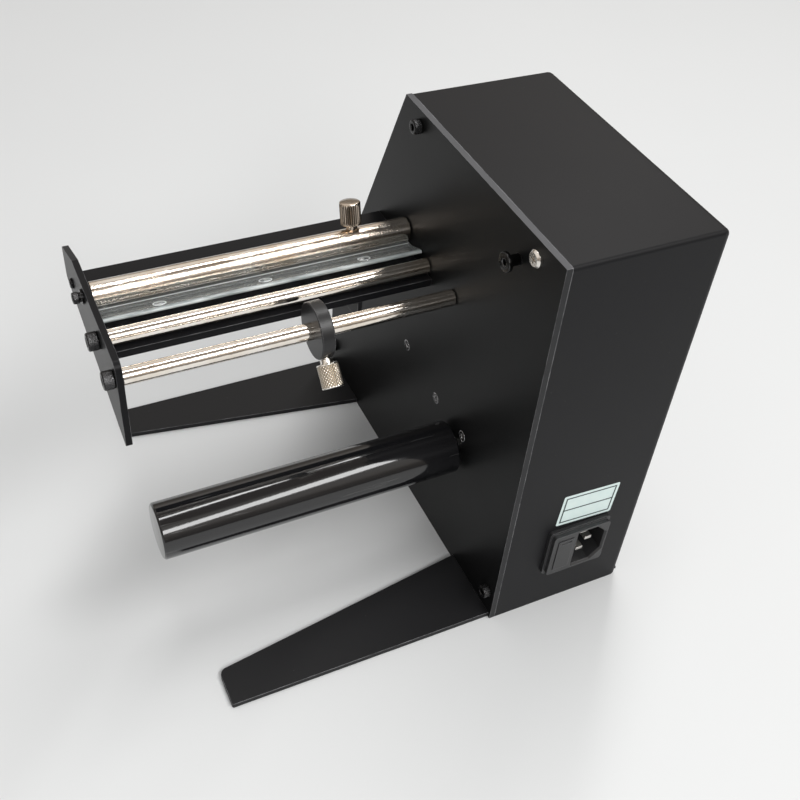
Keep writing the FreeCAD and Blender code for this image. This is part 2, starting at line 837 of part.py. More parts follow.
def label_sensor():
    """A small block sensor on the upright, with a round window that looks forwards past the peel edge."""
    face = sensor_place + sensor_sheet
    top = platform_top - platform_thickness - sensor_flange_thickness - moving_gap
    start = sensor_middle() - sensor_length / 2
    end = sensor_middle() + sensor_length / 2
    body = block(face, face + sensor_width, start, end, top - sensor_height, top)
    window = Part.makeCylinder(sensor_window / 2, 1.0, point(face + sensor_width / 2, end, top - sensor_height / 2),
                               FreeCAD.Vector(0, 1, 0))
    hole = rod(face - 1, face + sensor_width * 0.6, sensor_middle(), sensor_side_height(), sensor_screw_size)
    return body.cut(window).cut(hole)


def sensor_screws():
    """Two screws up into the platform and one into the sensor."""
    top = platform_top - platform_thickness - sensor_flange_thickness
    up = pan_screw(sensor_screw_size, sensor_flange_thickness + platform_thickness * 0.6)
    screws = [aim(up, point(sensor_flange_middle(), forward, top), FreeCAD.Vector(0, 0, -1))
              for forward in sensor_bracket_screws()]
    across = pan_screw(sensor_screw_size, sensor_sheet + sensor_width * 0.5)
    screws.append(aim(across, point(sensor_place, sensor_middle(), sensor_side_height()), FreeCAD.Vector(-1, 0, 0)))
    return screws


# Pressure bar

def bar_rod():
    """The fixed rod inside the pressure tube, tapped at both ends."""
    shaft = rod(0, end_plate_inner, bar_forward, bar_height, bar_rod_diameter)
    depth_tapped = 4 * bar_screw_size
    for start, end in ((0, depth_tapped), (end_plate_inner - depth_tapped, end_plate_inner)):
        shaft = shaft.cut(rod(start, end, bar_forward, bar_height, bar_screw_size))
    return shaft


def bar_direction():
    """The thumb screw of the pressure bar leans a little towards the front."""
    lean = math.radians(bar_thumb_tilt)
    return FreeCAD.Vector(0, -math.sin(lean), math.cos(lean))


def bar_tube():
    """The plated tube that turns on the rod, with a tapped hole for its thumb screw."""
    start = bar_end_gap
    end = end_plate_inner - bar_end_gap
    tube = rod(start, end, bar_forward, bar_height, bar_tube_diameter)
    tube = tube.cut(rod(start - 1, end + 1, bar_forward, bar_height, bar_rod_diameter + 2 * running_clearance))
    hole = Part.makeCylinder(thumb_thread_diameter / 2 + running_clearance, bar_tube_diameter)
    tube = tube.cut(aim(hole, point(bar_thumb_place, bar_forward, bar_height), bar_direction()))
    for x in strip_screw_places():
        tube = tube.cut(Part.makeCylinder(strip_screw_size / 2, bar_tube_diameter / 2,
                                          point(x, bar_forward, bar_height - bar_tube_diameter / 2)))
    flat = block(start - 1, end + 1, bar_forward - bar_tube_diameter, bar_forward + bar_tube_diameter,
                 bar_height - bar_tube_diameter, bar_height - bar_tube_diameter / 2 + strip_seat)
    return tube.cut(flat)


def strip_top():
    return bar_height - bar_tube_diameter / 2 + strip_seat


def strip_screw_places():
    """Three screws hold the strip, half-way between its open holes and its ends."""
    middle = shaft_span / 2
    return [middle - 1.45 * strip_hole_pitch, middle, middle + 1.45 * strip_hole_pitch]


def pressure_strip():
    """The clear strip that holds the liner down: flat under the tube, then rising to the rear."""
    top = strip_top()
    rise = math.atan2(strip_rise, strip_trough - strip_rear)
    drop = strip_thickness * math.tan(rise / 2)
    under = strip_thickness / math.cos(rise)
    corners = [
        (strip_front, top, 0.6),
        (strip_trough, top, 0.8),
        (strip_rear, top + strip_rise, 0.6),
        (strip_rear, top + strip_rise - under, 0.6),
        (strip_trough + drop, top - strip_thickness, 2.0),
        (strip_front, top - strip_thickness, 0.6),
    ]
    strip = side_prism(corners, bar_end_gap, end_plate_inner - bar_end_gap)
    slope = FreeCAD.Vector(0, -math.sin(rise), math.cos(rise))
    middle = shaft_span / 2
    cuts = []
    for index in (-1, 0, 1):
        centre = point(middle + index * strip_hole_pitch, (strip_trough + strip_rear) / 2, top + strip_rise / 2)
        hole = Part.makeCylinder(strip_hole_diameter / 2, 4 * strip_thickness, FreeCAD.Vector(0, 0, -2 * strip_thickness))
        cuts.append(aim(hole, centre, FreeCAD.Vector(0, slope.y, slope.z)))
    for x in strip_screw_places():
        seat = aim(sunk_cone(strip_screw_size), point(x, bar_forward, top - strip_thickness), FreeCAD.Vector(0, 0, -1))
        hole = Part.makeCylinder(strip_screw_size / 2, 2 * strip_thickness, point(x, bar_forward, top - 1.5 * strip_thickness))
        cuts.append(seat.fuse(hole))
    return strip.cut(Part.makeCompound(cuts))


def strip_screws():
    """Countersunk screws from below, through the strip into the tube wall."""
    wall = (bar_tube_diameter - bar_rod_diameter) / 2 - strip_seat - 2 * running_clearance
    screw = sunk_screw(strip_screw_size, strip_thickness + wall)
    return [aim(screw, point(x, bar_forward, strip_top() - strip_thickness), FreeCAD.Vector(0, 0, -1))
            for x in strip_screw_places()]


def bar_thumb_screw():
    """Its tip stops just clear of the rod, which it locks when it is turned in."""
    wall = (bar_tube_diameter - bar_rod_diameter) / 2
    direction = bar_direction()
    seat = point(bar_thumb_place, bar_forward, bar_height) + direction * (bar_tube_diameter / 2 + 0.3)
    return aim(thumb_screw(wall + 0.3 - running_clearance), seat, direction)


def bar_screws():
    """A cap screw in each end of the rod: from inside the box, and with a washer outside the end plate."""
    outer = socket_screw(bar_screw_size, bar_head_seat() - end_plate_inner + 3 * bar_screw_size)
    inner = socket_screw(bar_screw_size, panel_thickness + 3 * bar_screw_size)
    return [
        aim(outer, point(bar_head_seat(), bar_forward, bar_height), FreeCAD.Vector(1, 0, 0)),
        aim(inner, point(panel_inner, bar_forward, bar_height), FreeCAD.Vector(-1, 0, 0)),
    ]


def bar_head_seat():
    """Where the end screw's head sits, outside its washer and spacer."""
    return end_plate_outer + washer_thickness + spacer_length


def bar_washer():
    """A washer with a short spacer collar, which keeps the head off the slot's edges."""
    ring = rod(end_plate_outer, end_plate_outer + washer_thickness, bar_forward, bar_height, bar_screw_size * 2.3)
    collar = rod(end_plate_outer, bar_head_seat(), bar_forward, bar_height, spacer_diameter)
    bore = rod(end_plate_outer - 1, bar_head_seat() + 1, bar_forward, bar_height, bar_screw_size + hole_clearance)
    return ring.fuse(collar).cut(bore)


# Label edge guide

def ring_direction():
    """The thumb screw of the ring points down and to the rear."""
    lean = math.radians(ring_thumb_tilt)
    return FreeCAD.Vector(0, math.sin(lean), math.cos(lean))


def edge_guide_ring():
    """A plain ring that slides on the rear shaft and stops the label's edge."""
    start = ring_place - ring_width / 2
    end = ring_place + ring_width / 2
    ring = rod(start, end, rear_shaft_forward, rear_shaft_height, ring_diameter)
    rims = [edge for edge in ring.Edges if edge.BoundBox.XLength < 0.01]
    ring = ring.makeChamfer(0.4, rims)
    bore = rod(start - 1, end + 1, rear_shaft_forward, rear_shaft_height,
               guide_shaft_diameter + 2 * running_clearance)
    hole = aim(Part.makeCylinder(thumb_thread_diameter / 2 + running_clearance, ring_diameter),
               point(ring_place, rear_shaft_forward, rear_shaft_height), ring_direction())
    return ring.cut(bore).cut(hole)


def ring_thumb_screw():
    wall = (ring_diameter - guide_shaft_diameter) / 2
    direction = ring_direction()
    seat = point(ring_place, rear_shaft_forward, rear_shaft_height) + direction * (ring_diameter / 2 + 0.3)
    return aim(thumb_screw(wall + 0.3 - running_clearance), seat, direction)


# Rewind roller and its drive

def rewind_roller():
    """The black mandrel on which the empty liner is wound."""
    start = roller_panel_gap
    end = start + roller_length
    roller = rod(start, end, roller_forward, roller_height, roller_diameter)
    rims = [edge for edge in roller.Edges if edge.BoundBox.XLength < 0.01]
    roller = roller.makeChamfer(roller_chamfer, rims)
    return roller.cut(rod(start - 1, start + roller_shaft_depth, roller_forward, roller_height, roller_shaft_diameter))


def roller_shaft():
    """The steel shaft pressed into the roller; it ends inside the gearbox under its wheel."""
    return rod(drive_layer - drive_gear_width, roller_panel_gap + roller_shaft_depth,
               roller_forward, roller_height, roller_shaft_diameter)


def roller_bush():
    """A bronze bush in the panel and the gearbox plate, flush with both."""
    bush = rod(gearbox_front - gearbox_plate_thickness, 0, roller_forward, roller_height, bush_diameter)
    bore = rod(gearbox_front - gearbox_plate_thickness - 1, 1, roller_forward, roller_height,
               roller_shaft_diameter + 2 * running_clearance)
    return bush.cut(bore)


def involute(angle):
    return math.tan(angle) - angle


def gear(module, teeth, width, bore, x_end, centre, tooth_angle):
    """A spur gear with involute flanks; one tooth stands at tooth_angle, measured from +Y towards +Z."""
    pressure = math.radians(gear_pressure_angle)
    pitch_radius = module * teeth / 2
    base_radius = pitch_radius * math.cos(pressure)
    tip_radius = pitch_radius + 0.95 * module
    root_radius = pitch_radius - 1.25 * module
    flank_start = max(base_radius, root_radius)
    half_tooth = (math.pi * module / 2 - gear_backlash) / 2 / pitch_radius + involute(pressure)
    flank = []
    for step in range(gear_steps + 1):
        radius = flank_start + (tip_radius - flank_start) * step / gear_steps
        flank.append((radius, half_tooth - involute(math.acos(min(1.0, base_radius / radius)))))
    if root_radius < flank_start:
        flank.insert(0, (root_radius, flank[0][1]))
    corners = []
    forward, z = centre
    for tooth in range(teeth):
        middle = math.radians(tooth_angle) + 2 * math.pi * tooth / teeth
        ordered = [(radius, middle - spread) for radius, spread in flank]
        ordered += [(radius, middle + spread) for radius, spread in reversed(flank)]
        for radius, angle in ordered:
            corners.append(FreeCAD.Vector(x_end - width, -forward + radius * math.cos(angle),
                                          z + radius * math.sin(angle)))
    wire = Part.makePolygon(corners + corners[:1])
    body = Part.Face(wire).extrude(FreeCAD.Vector(width, 0, 0))
    return body.cut(rod(x_end - width - 1, x_end + 1, forward, z, bore))


def direction_angle(start, end):
    """The angle from +Y towards +Z of the line between two (forward, z) places."""
    return math.degrees(math.atan2(end[1] - start[1], start[0] - end[0]))


def roller_place():
    return roller_forward, roller_height


def drive_wheel():
    """The wheel on the roller shaft has a gap where the idler's pinion has a tooth."""
    angle = direction_angle(roller_place(), idler_place()) + 180.0 / drive_wheel_teeth
    return gear(drive_module, drive_wheel_teeth, drive_gear_width, roller_shaft_diameter,
                drive_layer, roller_place(), angle)


def idler_gear():
    """A double gear: the pinion that turns the roller's wheel, and the wheel that the motor turns."""
    pinion_angle = direction_angle(idler_place(), roller_place())
    wheel_angle = direction_angle(idler_place(), motor_place())
    bore = idler_pin_diameter + 2 * running_clearance
    pinion = gear(drive_module, drive_pinion_teeth, drive_gear_width + gear_side_gap, bore,
                  drive_layer, idler_place(), pinion_angle)
    wheel = gear(input_module, input_wheel_teeth, input_gear_width, bore, input_layer, idler_place(), wheel_angle)
    return pinion.fuse(wheel)


def idler_pin():
    forward, z = idler_place()
    return rod(gearbox_back, gearbox_front, forward, z, idler_pin_diameter)


def motor_pinion():
    angle = direction_angle(motor_place(), idler_place()) + 180.0 / input_pinion_teeth
    return gear(input_module, input_pinion_teeth, input_gear_width, motor_shaft_diameter,
                input_layer, motor_place(), angle)


def gearbox_corners(inset):
    """The gearbox outline seen from the side."""
    forward, z = idler_place()
    top = z + input_module * input_wheel_teeth / 2 + input_module + gear_side_gap + gearbox_wall
    bottom = roller_height - gearbox_screw_rise / 2 - gearbox_margin
    corner = 4.0 - inset / 2
    return [
        (gearbox_forward - gearbox_half_width + inset, bottom + inset, corner),
        (gearbox_forward + gearbox_half_width - inset, bottom + inset, corner),
        (gearbox_forward + gearbox_half_width - inset, top - inset, corner),
        (gearbox_forward - gearbox_half_width + inset, top - inset, corner),
    ]


def gearbox_plate():
    """The gearbox's front plate, clamped between its case and the panel."""
    plate = side_prism(gearbox_corners(0), gearbox_front - gearbox_plate_thickness, gearbox_front)
    cuts = [rod(gearbox_front - gearbox_plate_thickness - 1, gearbox_front + 1, roller_forward, roller_height, bush_diameter)]
    forward, z = idler_place()
    cuts.append(rod(gearbox_front - gearbox_plate_thickness - 1, gearbox_front + 1, forward, z, idler_pin_diameter))
    for forward, z in gearbox_screw_points():
        cuts.append(rod(gearbox_front - gearbox_plate_thickness - 1, gearbox_front + 1, forward, z,
                        gearbox_screw_size + 2 * hole_clearance))
    return plate.cut(Part.makeCompound(cuts))


def gearbox_case():
    """A cup with three tapped posts, closed by the front plate."""
    front = gearbox_front - gearbox_plate_thickness
    case = side_prism(gearbox_corners(0), gearbox_back, front)
    case = case.cut(side_prism(gearbox_corners(gearbox_wall), gearbox_back_inner, front + 1))
    for forward, z in gearbox_screw_points():
        case = case.fuse(rod(gearbox_back_inner, front, forward, z, gearbox_post_diameter))
    cuts = []
    for forward, z in gearbox_screw_points():
        cuts.append(rod(gearbox_back_inner, front + 1, forward, z, gearbox_screw_size))
    forward, z = idler_place()
    cuts.append(rod(gearbox_back - 1, gearbox_back_inner + 1, forward, z, idler_pin_diameter))
    forward, z = motor_place()
    cuts.append(rod(gearbox_back - 1, gearbox_back_inner + 1, forward, z, motor_boss_diameter))
    for side in (-1, 1):
        cuts.append(rod(gearbox_back - 1, gearbox_back_inner + 1, forward + side * motor_screw_pitch / 2, z,
                        gearbox_screw_size + 2 * hole_clearance))
    return case.cut(Part.makeCompound(cuts))


def panel_sunk_screws():
    """Bright countersunk screws flush in the panel: three into the gearbox posts and one for the earth wire."""
    length = panel_thickness + gearbox_plate_thickness + 2 * gearbox_screw_size
    return [aim(sunk_screw(gearbox_screw_size, length), point(0, forward, z), FreeCAD.Vector(1, 0, 0))
            for forward, z in gearbox_screw_points() + [earth_screw_place]]


def motor_can():
    """The motor's round steel can with the boss that centres it in the gearbox wall."""
    forward, z = motor_place()
    can = rod(gearbox_back - motor_length, gearbox_back, forward, z, motor_diameter)
    rear_rim = [edge for edge in can.Edges if edge.BoundBox.XMax < gearbox_back - motor_length + 0.01]
    can = can.makeChamfer(1.2, rear_rim)
    boss = rod(gearbox_back, gearbox_back + motor_boss_length, forward, z, motor_boss_diameter)
    hole = rod(gearbox_back - motor_length - 1, gearbox_back + motor_boss_length + 1, forward, z,
               motor_shaft_diameter + 2 * running_clearance)
    can = can.fuse(boss).cut(hole)
    for side in (-1, 1):
        can = can.cut(rod(gearbox_back - 6.0, gearbox_back + 1, forward + side * motor_screw_pitch / 2, z,
                          gearbox_screw_size))
    return can


def motor_cap():
    """The plastic cap with the two terminals at the motor's rear."""
    forward, z = motor_place()
    start = gearbox_back - motor_length - motor_cap_length
    end = gearbox_back - motor_length
    cap = rod(start, end, forward, z, motor_diameter * 0.6)
    for side in (-1, 1):
        cap = cap.fuse(block(start - 5.0, start, forward + side * 7.0 - 0.4, forward + side * 7.0 + 0.4, z - 1.6, z + 1.6))
    return cap


def motor_shaft():
    forward, z = motor_place()
    return rod(gearbox_back - motor_length + 1.0, input_layer, forward, z, motor_shaft_diameter)


def motor_screws():
    forward, z = motor_place()
    screw = pan_screw(gearbox_screw_size, gearbox_plate_thickness + 5.0)
    return [aim(screw, point(gearbox_back_inner, forward + side * motor_screw_pitch / 2, z), FreeCAD.Vector(1, 0, 0))
            for side in (-1, 1)]


# Mains inlet

def centred_box(width, length, z_start, z_end):
    """A box about the Z axis."""
    return Part.makeBox(width, length, z_end - z_start, FreeCAD.Vector(-width / 2, -length / 2, z_start))


def inlet_prism(across, z, width, tall, rear_start, rear_end, corner):
    """A rounded block on the rear wall; rear distances grow outwards from the wall's outer face."""
    left = across - width / 2
    right = across + width / 2
    low = z - tall / 2
    high = z + tall / 2
    corners = [(left, low, corner), (right, low, corner), (right, high, corner), (left, high, corner)]
    face = rounded_face(corners, lambda x, level: FreeCAD.Vector(x, rear_start, level))
    return face.extrude(FreeCAD.Vector(0, rear_end - rear_start, 0))


def inlet_cutout():
    return inlet_prism(inlet_centre_across, inlet_centre_height, inlet_width - 2 * inlet_body_inset,
                       inlet_height - 2 * inlet_body_inset, -cover_wall - 1, 1, 0)


def socket_outline(margin, rear):
    """The socket opening, turned on its side, with two corners cut off away from the fuse."""
    left = socket_centre_across - socket_width / 2 - margin
    right = socket_centre_across + socket_width / 2 + margin
    low = inlet_centre_height - socket_height / 2 - margin
    high = inlet_centre_height + socket_height / 2 + margin
    cut = socket_chamfer + margin * (2 - math.sqrt(2))
    corners = [
        (right, low, 0.6),
        (right, high, 0.6),
        (left + cut, high, 0.6),
        (left, high - cut, 0.6),
        (left, low + cut, 0.6),
        (left + cut, low, 0.6),
    ]
    return rounded_face(corners, lambda x, z: FreeCAD.Vector(x, rear, z))


def socket_recess():
    """The socket with a lead-in bevel round its mouth."""
    recess = socket_outline(0, inlet_proud).extrude(FreeCAD.Vector(0, -socket_depth, 0))
    inner = socket_outline(0, inlet_proud - socket_lead).OuterWire
    outer = socket_outline(2 * socket_lead, inlet_proud + socket_lead).OuterWire
    return recess.fuse(Part.makeLoft([inner, outer], True))


def inlet_body():
    """The moulded inlet: a stepped bezel outside the wall and a body behind it."""
    bezel = inlet_prism(inlet_centre_across, inlet_centre_height, inlet_width, inlet_height, 0, inlet_flange, inlet_corner)
    step = inlet_prism(inlet_centre_across, inlet_centre_height, inlet_width - 2 * inlet_step,
                       inlet_height - 2 * inlet_step, inlet_flange, inlet_proud, inlet_corner)
    body = inlet_prism(inlet_centre_across, inlet_centre_height,
                       inlet_width - 2 * inlet_body_inset - 2 * hole_clearance,
                       inlet_height - 2 * inlet_body_inset - 2 * hole_clearance, -inlet_body_depth, 0, 0)
    shape = bezel.fuse(step).fuse(body).cut(socket_recess())
    shape = shape.cut(inlet_prism(drawer_across, inlet_centre_height, drawer_width + 2 * drawer_clearance,
                                  drawer_height + 2 * drawer_clearance, inlet_proud - drawer_depth - drawer_clearance,
                                  inlet_proud + 1, 0))
    for pin in inlet_pin_blocks():
        shape = shape.cut(pin)
    return shape.removeSplitter()


def inlet_pin_blocks():
    """Two live blades and, towards the cut corners, the earth blade, from the solder tabs to the tips."""
    floor = inlet_proud - socket_depth
    blocks = []
    for side, level in ((-1, 0), (1, 1), (1, -1)):
        x = socket_centre_across + side * inlet_pin_offset / 2
        z = inlet_centre_height + level * inlet_pin_pitch
        blocks.append(Part.makeBox(inlet_pin_width, inlet_pin_length + inlet_body_depth + floor + tab_length,
                                   inlet_pin_thickness,
                                   FreeCAD.Vector(x - inlet_pin_width / 2, -inlet_body_depth - tab_length,
                                                  z - inlet_pin_thickness / 2)))
    return blocks


def inlet_pins():
    return inlet_pin_blocks()


def fuse_drawer():
    """The small drawer beside the socket, with a finger slot on its face."""
    drawer = inlet_prism(drawer_across, inlet_centre_height, drawer_width, drawer_height,
                         inlet_proud - drawer_depth, inlet_proud + drawer_proud, 0)
    slot = inlet_prism(drawer_across, inlet_centre_height + drawer_height / 2 - 2.0, drawer_width - 3.0, 1.6,
                       inlet_proud, inlet_proud + drawer_proud + 1, 0)
    pocket = aim(Part.makeCylinder(fuse_diameter / 2, fuse_length + 0.4),
                 FreeCAD.Vector(drawer_across, inlet_proud - drawer_depth / 2 - 3.0,
                                inlet_centre_height - fuse_length / 2 - 0.2), FreeCAD.Vector(0, 0, 1))
    mouth = Part.makeBox(fuse_diameter, drawer_depth, fuse_length + 0.4,
                         FreeCAD.Vector(drawer_across - fuse_diameter / 2, inlet_proud - 1.5 * drawer_depth - 3.0,
                                        inlet_centre_height - fuse_length / 2 - 0.2))
    return drawer.cut(slot).cut(pocket).cut(mouth)


def fuse():
    """A glass cartridge fuse lying in the drawer."""
    start = FreeCAD.Vector(drawer_across, inlet_proud - drawer_depth / 2 - 3.0, inlet_centre_height - fuse_length / 2)
    cap = 5.0
    body = Part.makeCylinder(fuse_diameter / 2 - 0.25, fuse_length - 2 * cap,
                             start + FreeCAD.Vector(0, 0, cap))
    ends = [Part.makeCylinder(fuse_diameter / 2, cap, start),
            Part.makeCylinder(fuse_diameter / 2, cap, start + FreeCAD.Vector(0, 0, fuse_length - cap))]
    return body.fuse(ends[0]).fuse(ends[1])


# Controls on the sloped face

def switch_frame():
    """The rocker switch's bezel and body."""
    bezel = centred_box(switch_width, switch_height, 0, switch_bezel)
    body = centred_box(switch_width - 2 * switch_wall, switch_height - 2 * switch_wall, -switch_body_depth, 0)
    frame = bezel.fuse(body)
    opening = centred_box(switch_width - 4 * switch_wall, switch_height - 4 * switch_wall, -5.0, switch_bezel + 1)
    return on_slope(frame.cut(opening).removeSplitter(), switch_along, box_middle)


def switch_rocker():
    """The rocker, dished along its length and tilted to its off side."""
    half_length = (switch_height - 4 * switch_wall) / 2 - rocker_end_gap
    half_width = (switch_width - 4 * switch_wall) / 2 - rocker_clearance
    crest = switch_bezel + rocker_rise
    start = FreeCAD.Vector(-half_width, -half_length, crest)
    end = FreeCAD.Vector(-half_width, half_length, crest)
    dish = FreeCAD.Vector(-half_width, 0, crest - rocker_dish)
    low_end = FreeCAD.Vector(-half_width, half_length - 1.0, -1.5)
    low_start = FreeCAD.Vector(-half_width, -half_length + 1.0, -1.5)
    edges = [Part.Arc(start, dish, end).toShape(), Part.LineSegment(end, low_end).toShape(),
             Part.LineSegment(low_end, low_start).toShape(), Part.LineSegment(low_start, start).toShape()]
    rocker = Part.Face(Part.Wire(edges)).extrude(FreeCAD.Vector(2 * half_width, 0, 0))
    return on_slope(rocker, switch_along, box_middle, rocker_tilt)


def potentiometer():
    """The speed control's body behind the face and its threaded bush through it."""
    body = Part.makeCylinder(pot_diameter / 2, pot_depth, FreeCAD.Vector(0, 0, -cover_wall - pot_depth))
    bush = Part.makeCylinder(pot_bush_diameter / 2, pot_bush_length, FreeCAD.Vector(0, 0, -cover_wall))
    hole = Part.makeCylinder(pot_shaft_diameter / 2 + running_clearance, pot_bush_length + 4,
                             FreeCAD.Vector(0, 0, -cover_wall - 3))
    return on_slope(body.fuse(bush).cut(hole), knob_along, box_middle)


def potentiometer_nut():
    plate = hexagon(pot_bush_diameter * 1.4, pot_nut_thickness, 0)
    return on_slope(plate.cut(Part.makeCylinder(pot_bush_diameter / 2, pot_nut_thickness)), knob_along, box_middle)


def potentiometer_shaft():
    shaft = Part.makeCylinder(pot_shaft_diameter / 2, pot_shaft_length, FreeCAD.Vector(0, 0, -cover_wall - 2.5))
    return on_slope(shaft, knob_along, box_middle)


def speed_knob():
    """A ribbed knob with a pointer line, hollow below so that it covers the nut."""
    base = pot_nut_thickness + knob_gap
    knob = Part.makeCone(knob_diameter / 2, knob_diameter / 2 - 1.2, knob_length, FreeCAD.Vector(0, 0, knob_gap))
    knob = knob.makeChamfer(0.6, [edge for edge in knob.Edges if edge.BoundBox.ZMin > knob_gap + knob_length - 0.01])
    grooves = []
    for index in range(knob_grooves):
        groove = Part.makeCylinder(0.6, knob_length - 3.0, FreeCAD.Vector(knob_diameter / 2, 0, knob_gap))
        groove.rotate(FreeCAD.Vector(0, 0, 0), FreeCAD.Vector(0, 0, 1), 360.0 * (index + 0.5) / knob_grooves)
        grooves.append(groove)
    knob = knob.cut(Part.makeCompound(grooves))
    top = knob_gap + knob_length
    knob = knob.cut(Part.makeBox(1.0, knob_diameter / 2 - 1.0, 0.6, FreeCAD.Vector(-0.5, 1.5, top - 0.6)))
    hollow = Part.makeCylinder(knob_diameter / 2 - 2.6, base + 3.0 - knob_gap, FreeCAD.Vector(0, 0, knob_gap))
    bore = Part.makeCylinder(pot_shaft_diameter / 2, pot_shaft_length - cover_wall - 2.5)
    return on_slope(knob.cut(hollow).cut(bore), knob_along, box_middle)


def indicator_lamp():
    """A panel lamp: a round bezel, a domed lens and a barrel behind the face."""
    bezel = Part.makeCylinder(lamp_bezel_diameter / 2, lamp_bezel_thickness)
    barrel = Part.makeCylinder(lamp_diameter / 2, lamp_depth, FreeCAD.Vector(0, 0, -lamp_depth))
    dome_radius = ((lamp_diameter / 2) ** 2 + lamp_dome ** 2) / (2 * lamp_dome)
    dome = Part.makeSphere(dome_radius, FreeCAD.Vector(0, 0, lamp_bezel_thickness + lamp_dome - dome_radius))
    dome = dome.common(Part.makeCylinder(lamp_diameter / 2, lamp_dome + 1, FreeCAD.Vector(0, 0, lamp_bezel_thickness)))
    return on_slope(bezel.fuse(barrel).fuse(dome), lamp_along, box_middle)


# Electronics

def board_screw_points():
    """The corners of the control board's hole pattern."""
    points = []
    for forward in (board_forward + board_hole_inset, board_forward + board_length - board_hole_inset):
        for z in (board_low + board_hole_inset, board_low + board_width - board_hole_inset):
            points.append((forward, z))
    return points


def board_standoffs():
    """Posts pressed into the cover's far wall, flush outside."""
    start = -box_width + cover_wall
    posts = []
    for forward, z in board_screw_points():
        post = rod(start, start + standoff_length, forward, z, standoff_diameter)
        post = post.fuse(rod(-box_width, start, forward, z, standoff_spigot))
        posts.append(post.cut(rod(start, start + standoff_length + 1, forward, z, board_screw_size)))
    return posts


def control_board():
    start = -box_width + cover_wall + standoff_length
    board = block(start, start + board_thickness, board_forward, board_forward + board_length,
                  board_low, board_low + board_width)
    holes = [rod(start - 1, start + board_thickness + 1, forward, z, board_screw_size + 2 * hole_clearance)
             for forward, z in board_screw_points()]
    return board.cut(Part.makeCompound(holes))


def electronics_screws():
    """Pan-head screws of the board and of the transformer's bracket."""
    board_face = -box_width + cover_wall + standoff_length + board_thickness
    board_screw = pan_screw(board_screw_size, board_thickness + standoff_length - 0.5)
    foot_top = floor_lift + cover_wall + foot_thickness
    foot_screw = pan_screw(board_screw_size, foot_thickness + cover_wall + 1.0)
    screws = [aim(board_screw, point(board_face, forward, z), FreeCAD.Vector(1, 0, 0))
              for forward, z in board_screw_points()]
    screws += [aim(foot_screw, point(x, forward, foot_top), FreeCAD.Vector(0, 0, 1))
               for x, forward in transformer_screw_points()]
    return screws


def board_parts():
    """The tall pieces on the board: two terminal blocks, a relay and a smoothing capacitor."""
    face = -box_width + cover_wall + standoff_length + board_thickness
    low = board_low + part_gap
    middle = board_forward + board_length / 2
    pieces = []
    for side in (-1, 1):
        centre = middle + side * (terminal_length / 2 + part_gap)
        terminal = block(face, face + terminal_height, centre - terminal_length / 2, centre + terminal_length / 2,
                         low, low + terminal_width)
        mouths = []
        for index in range(terminal_ways):
            forward = centre + (index - (terminal_ways - 1) / 2) * terminal_pitch
            mouths.append(block(face + 2.0, face + 5.5, forward - 1.6, forward + 1.6, low - 1, low + 3.0))
        pieces.append(terminal.cut(Part.makeCompound(mouths)))
    relay_low = low + terminal_width + 4 * part_gap
    pieces.append(block(face, face + relay_height, middle - relay_offset, middle - relay_offset + relay_length,
                        relay_low, relay_low + relay_width))
    pieces.append(rod(face, face + capacitor_height, middle + capacitor_offset, relay_low + relay_width,
                      capacitor_diameter))
    return pieces


def transformer_screw_points():
    """The two feet of the transformer bracket on the cover's floor."""
    return [(box_middle, transformer_forward - transformer_foot / 2 + 5.0),
            (box_middle, transformer_forward + transformer_foot / 2 - 5.0)]


def transformer():
    """The laminated core and its coil."""
    width, length, tall = transformer_core
    base = floor_lift + cover_wall + foot_thickness
    core = block(box_middle - width / 2, box_middle + width / 2, transformer_forward - length / 2,
                 transformer_forward + length / 2, base, base + tall)
    coil_width, coil_length, coil_tall = transformer_coil
    coil = block(box_middle - width / 2 - 5.0, box_middle + width / 2 + 5.0, transformer_forward - coil_length / 2,
                 transformer_forward + coil_length / 2, base + 5.0, base + tall - 5.0)
    return core.fuse(coil.makeFillet(2.0, coil.Edges))


def transformer_bracket():
    """The folded strap over the core, with two feet."""
    width, length, tall = transformer_core
    low = floor_lift + cover_wall
    start = transformer_forward - length / 2 - foot_thickness
    end = transformer_forward + length / 2 + foot_thickness
    top = low + foot_thickness + tall
    strap_width = foot_width
    parts = [
        block(box_middle - strap_width / 2, box_middle + strap_width / 2, transformer_forward - transformer_foot / 2,
              transformer_forward + transformer_foot / 2, low, low + foot_thickness),
        block(box_middle - strap_width / 2, box_middle + strap_width / 2, start, start + foot_thickness, low, top + foot_thickness),
        block(box_middle - strap_width / 2, box_middle + strap_width / 2, end - foot_thickness, end, low, top + foot_thickness),
        block(box_middle - strap_width / 2, box_middle + strap_width / 2, start, end, top, top + foot_thickness),
    ]
    strap = parts[0].fuse(parts[1:]).removeSplitter()
    holes = [Part.makeCylinder(board_screw_size / 2 + hole_clearance, 4 * foot_thickness, point(x, forward, low - 1))
             for x, forward in transformer_screw_points()]
    return strap.cut(Part.makeCompound(holes))


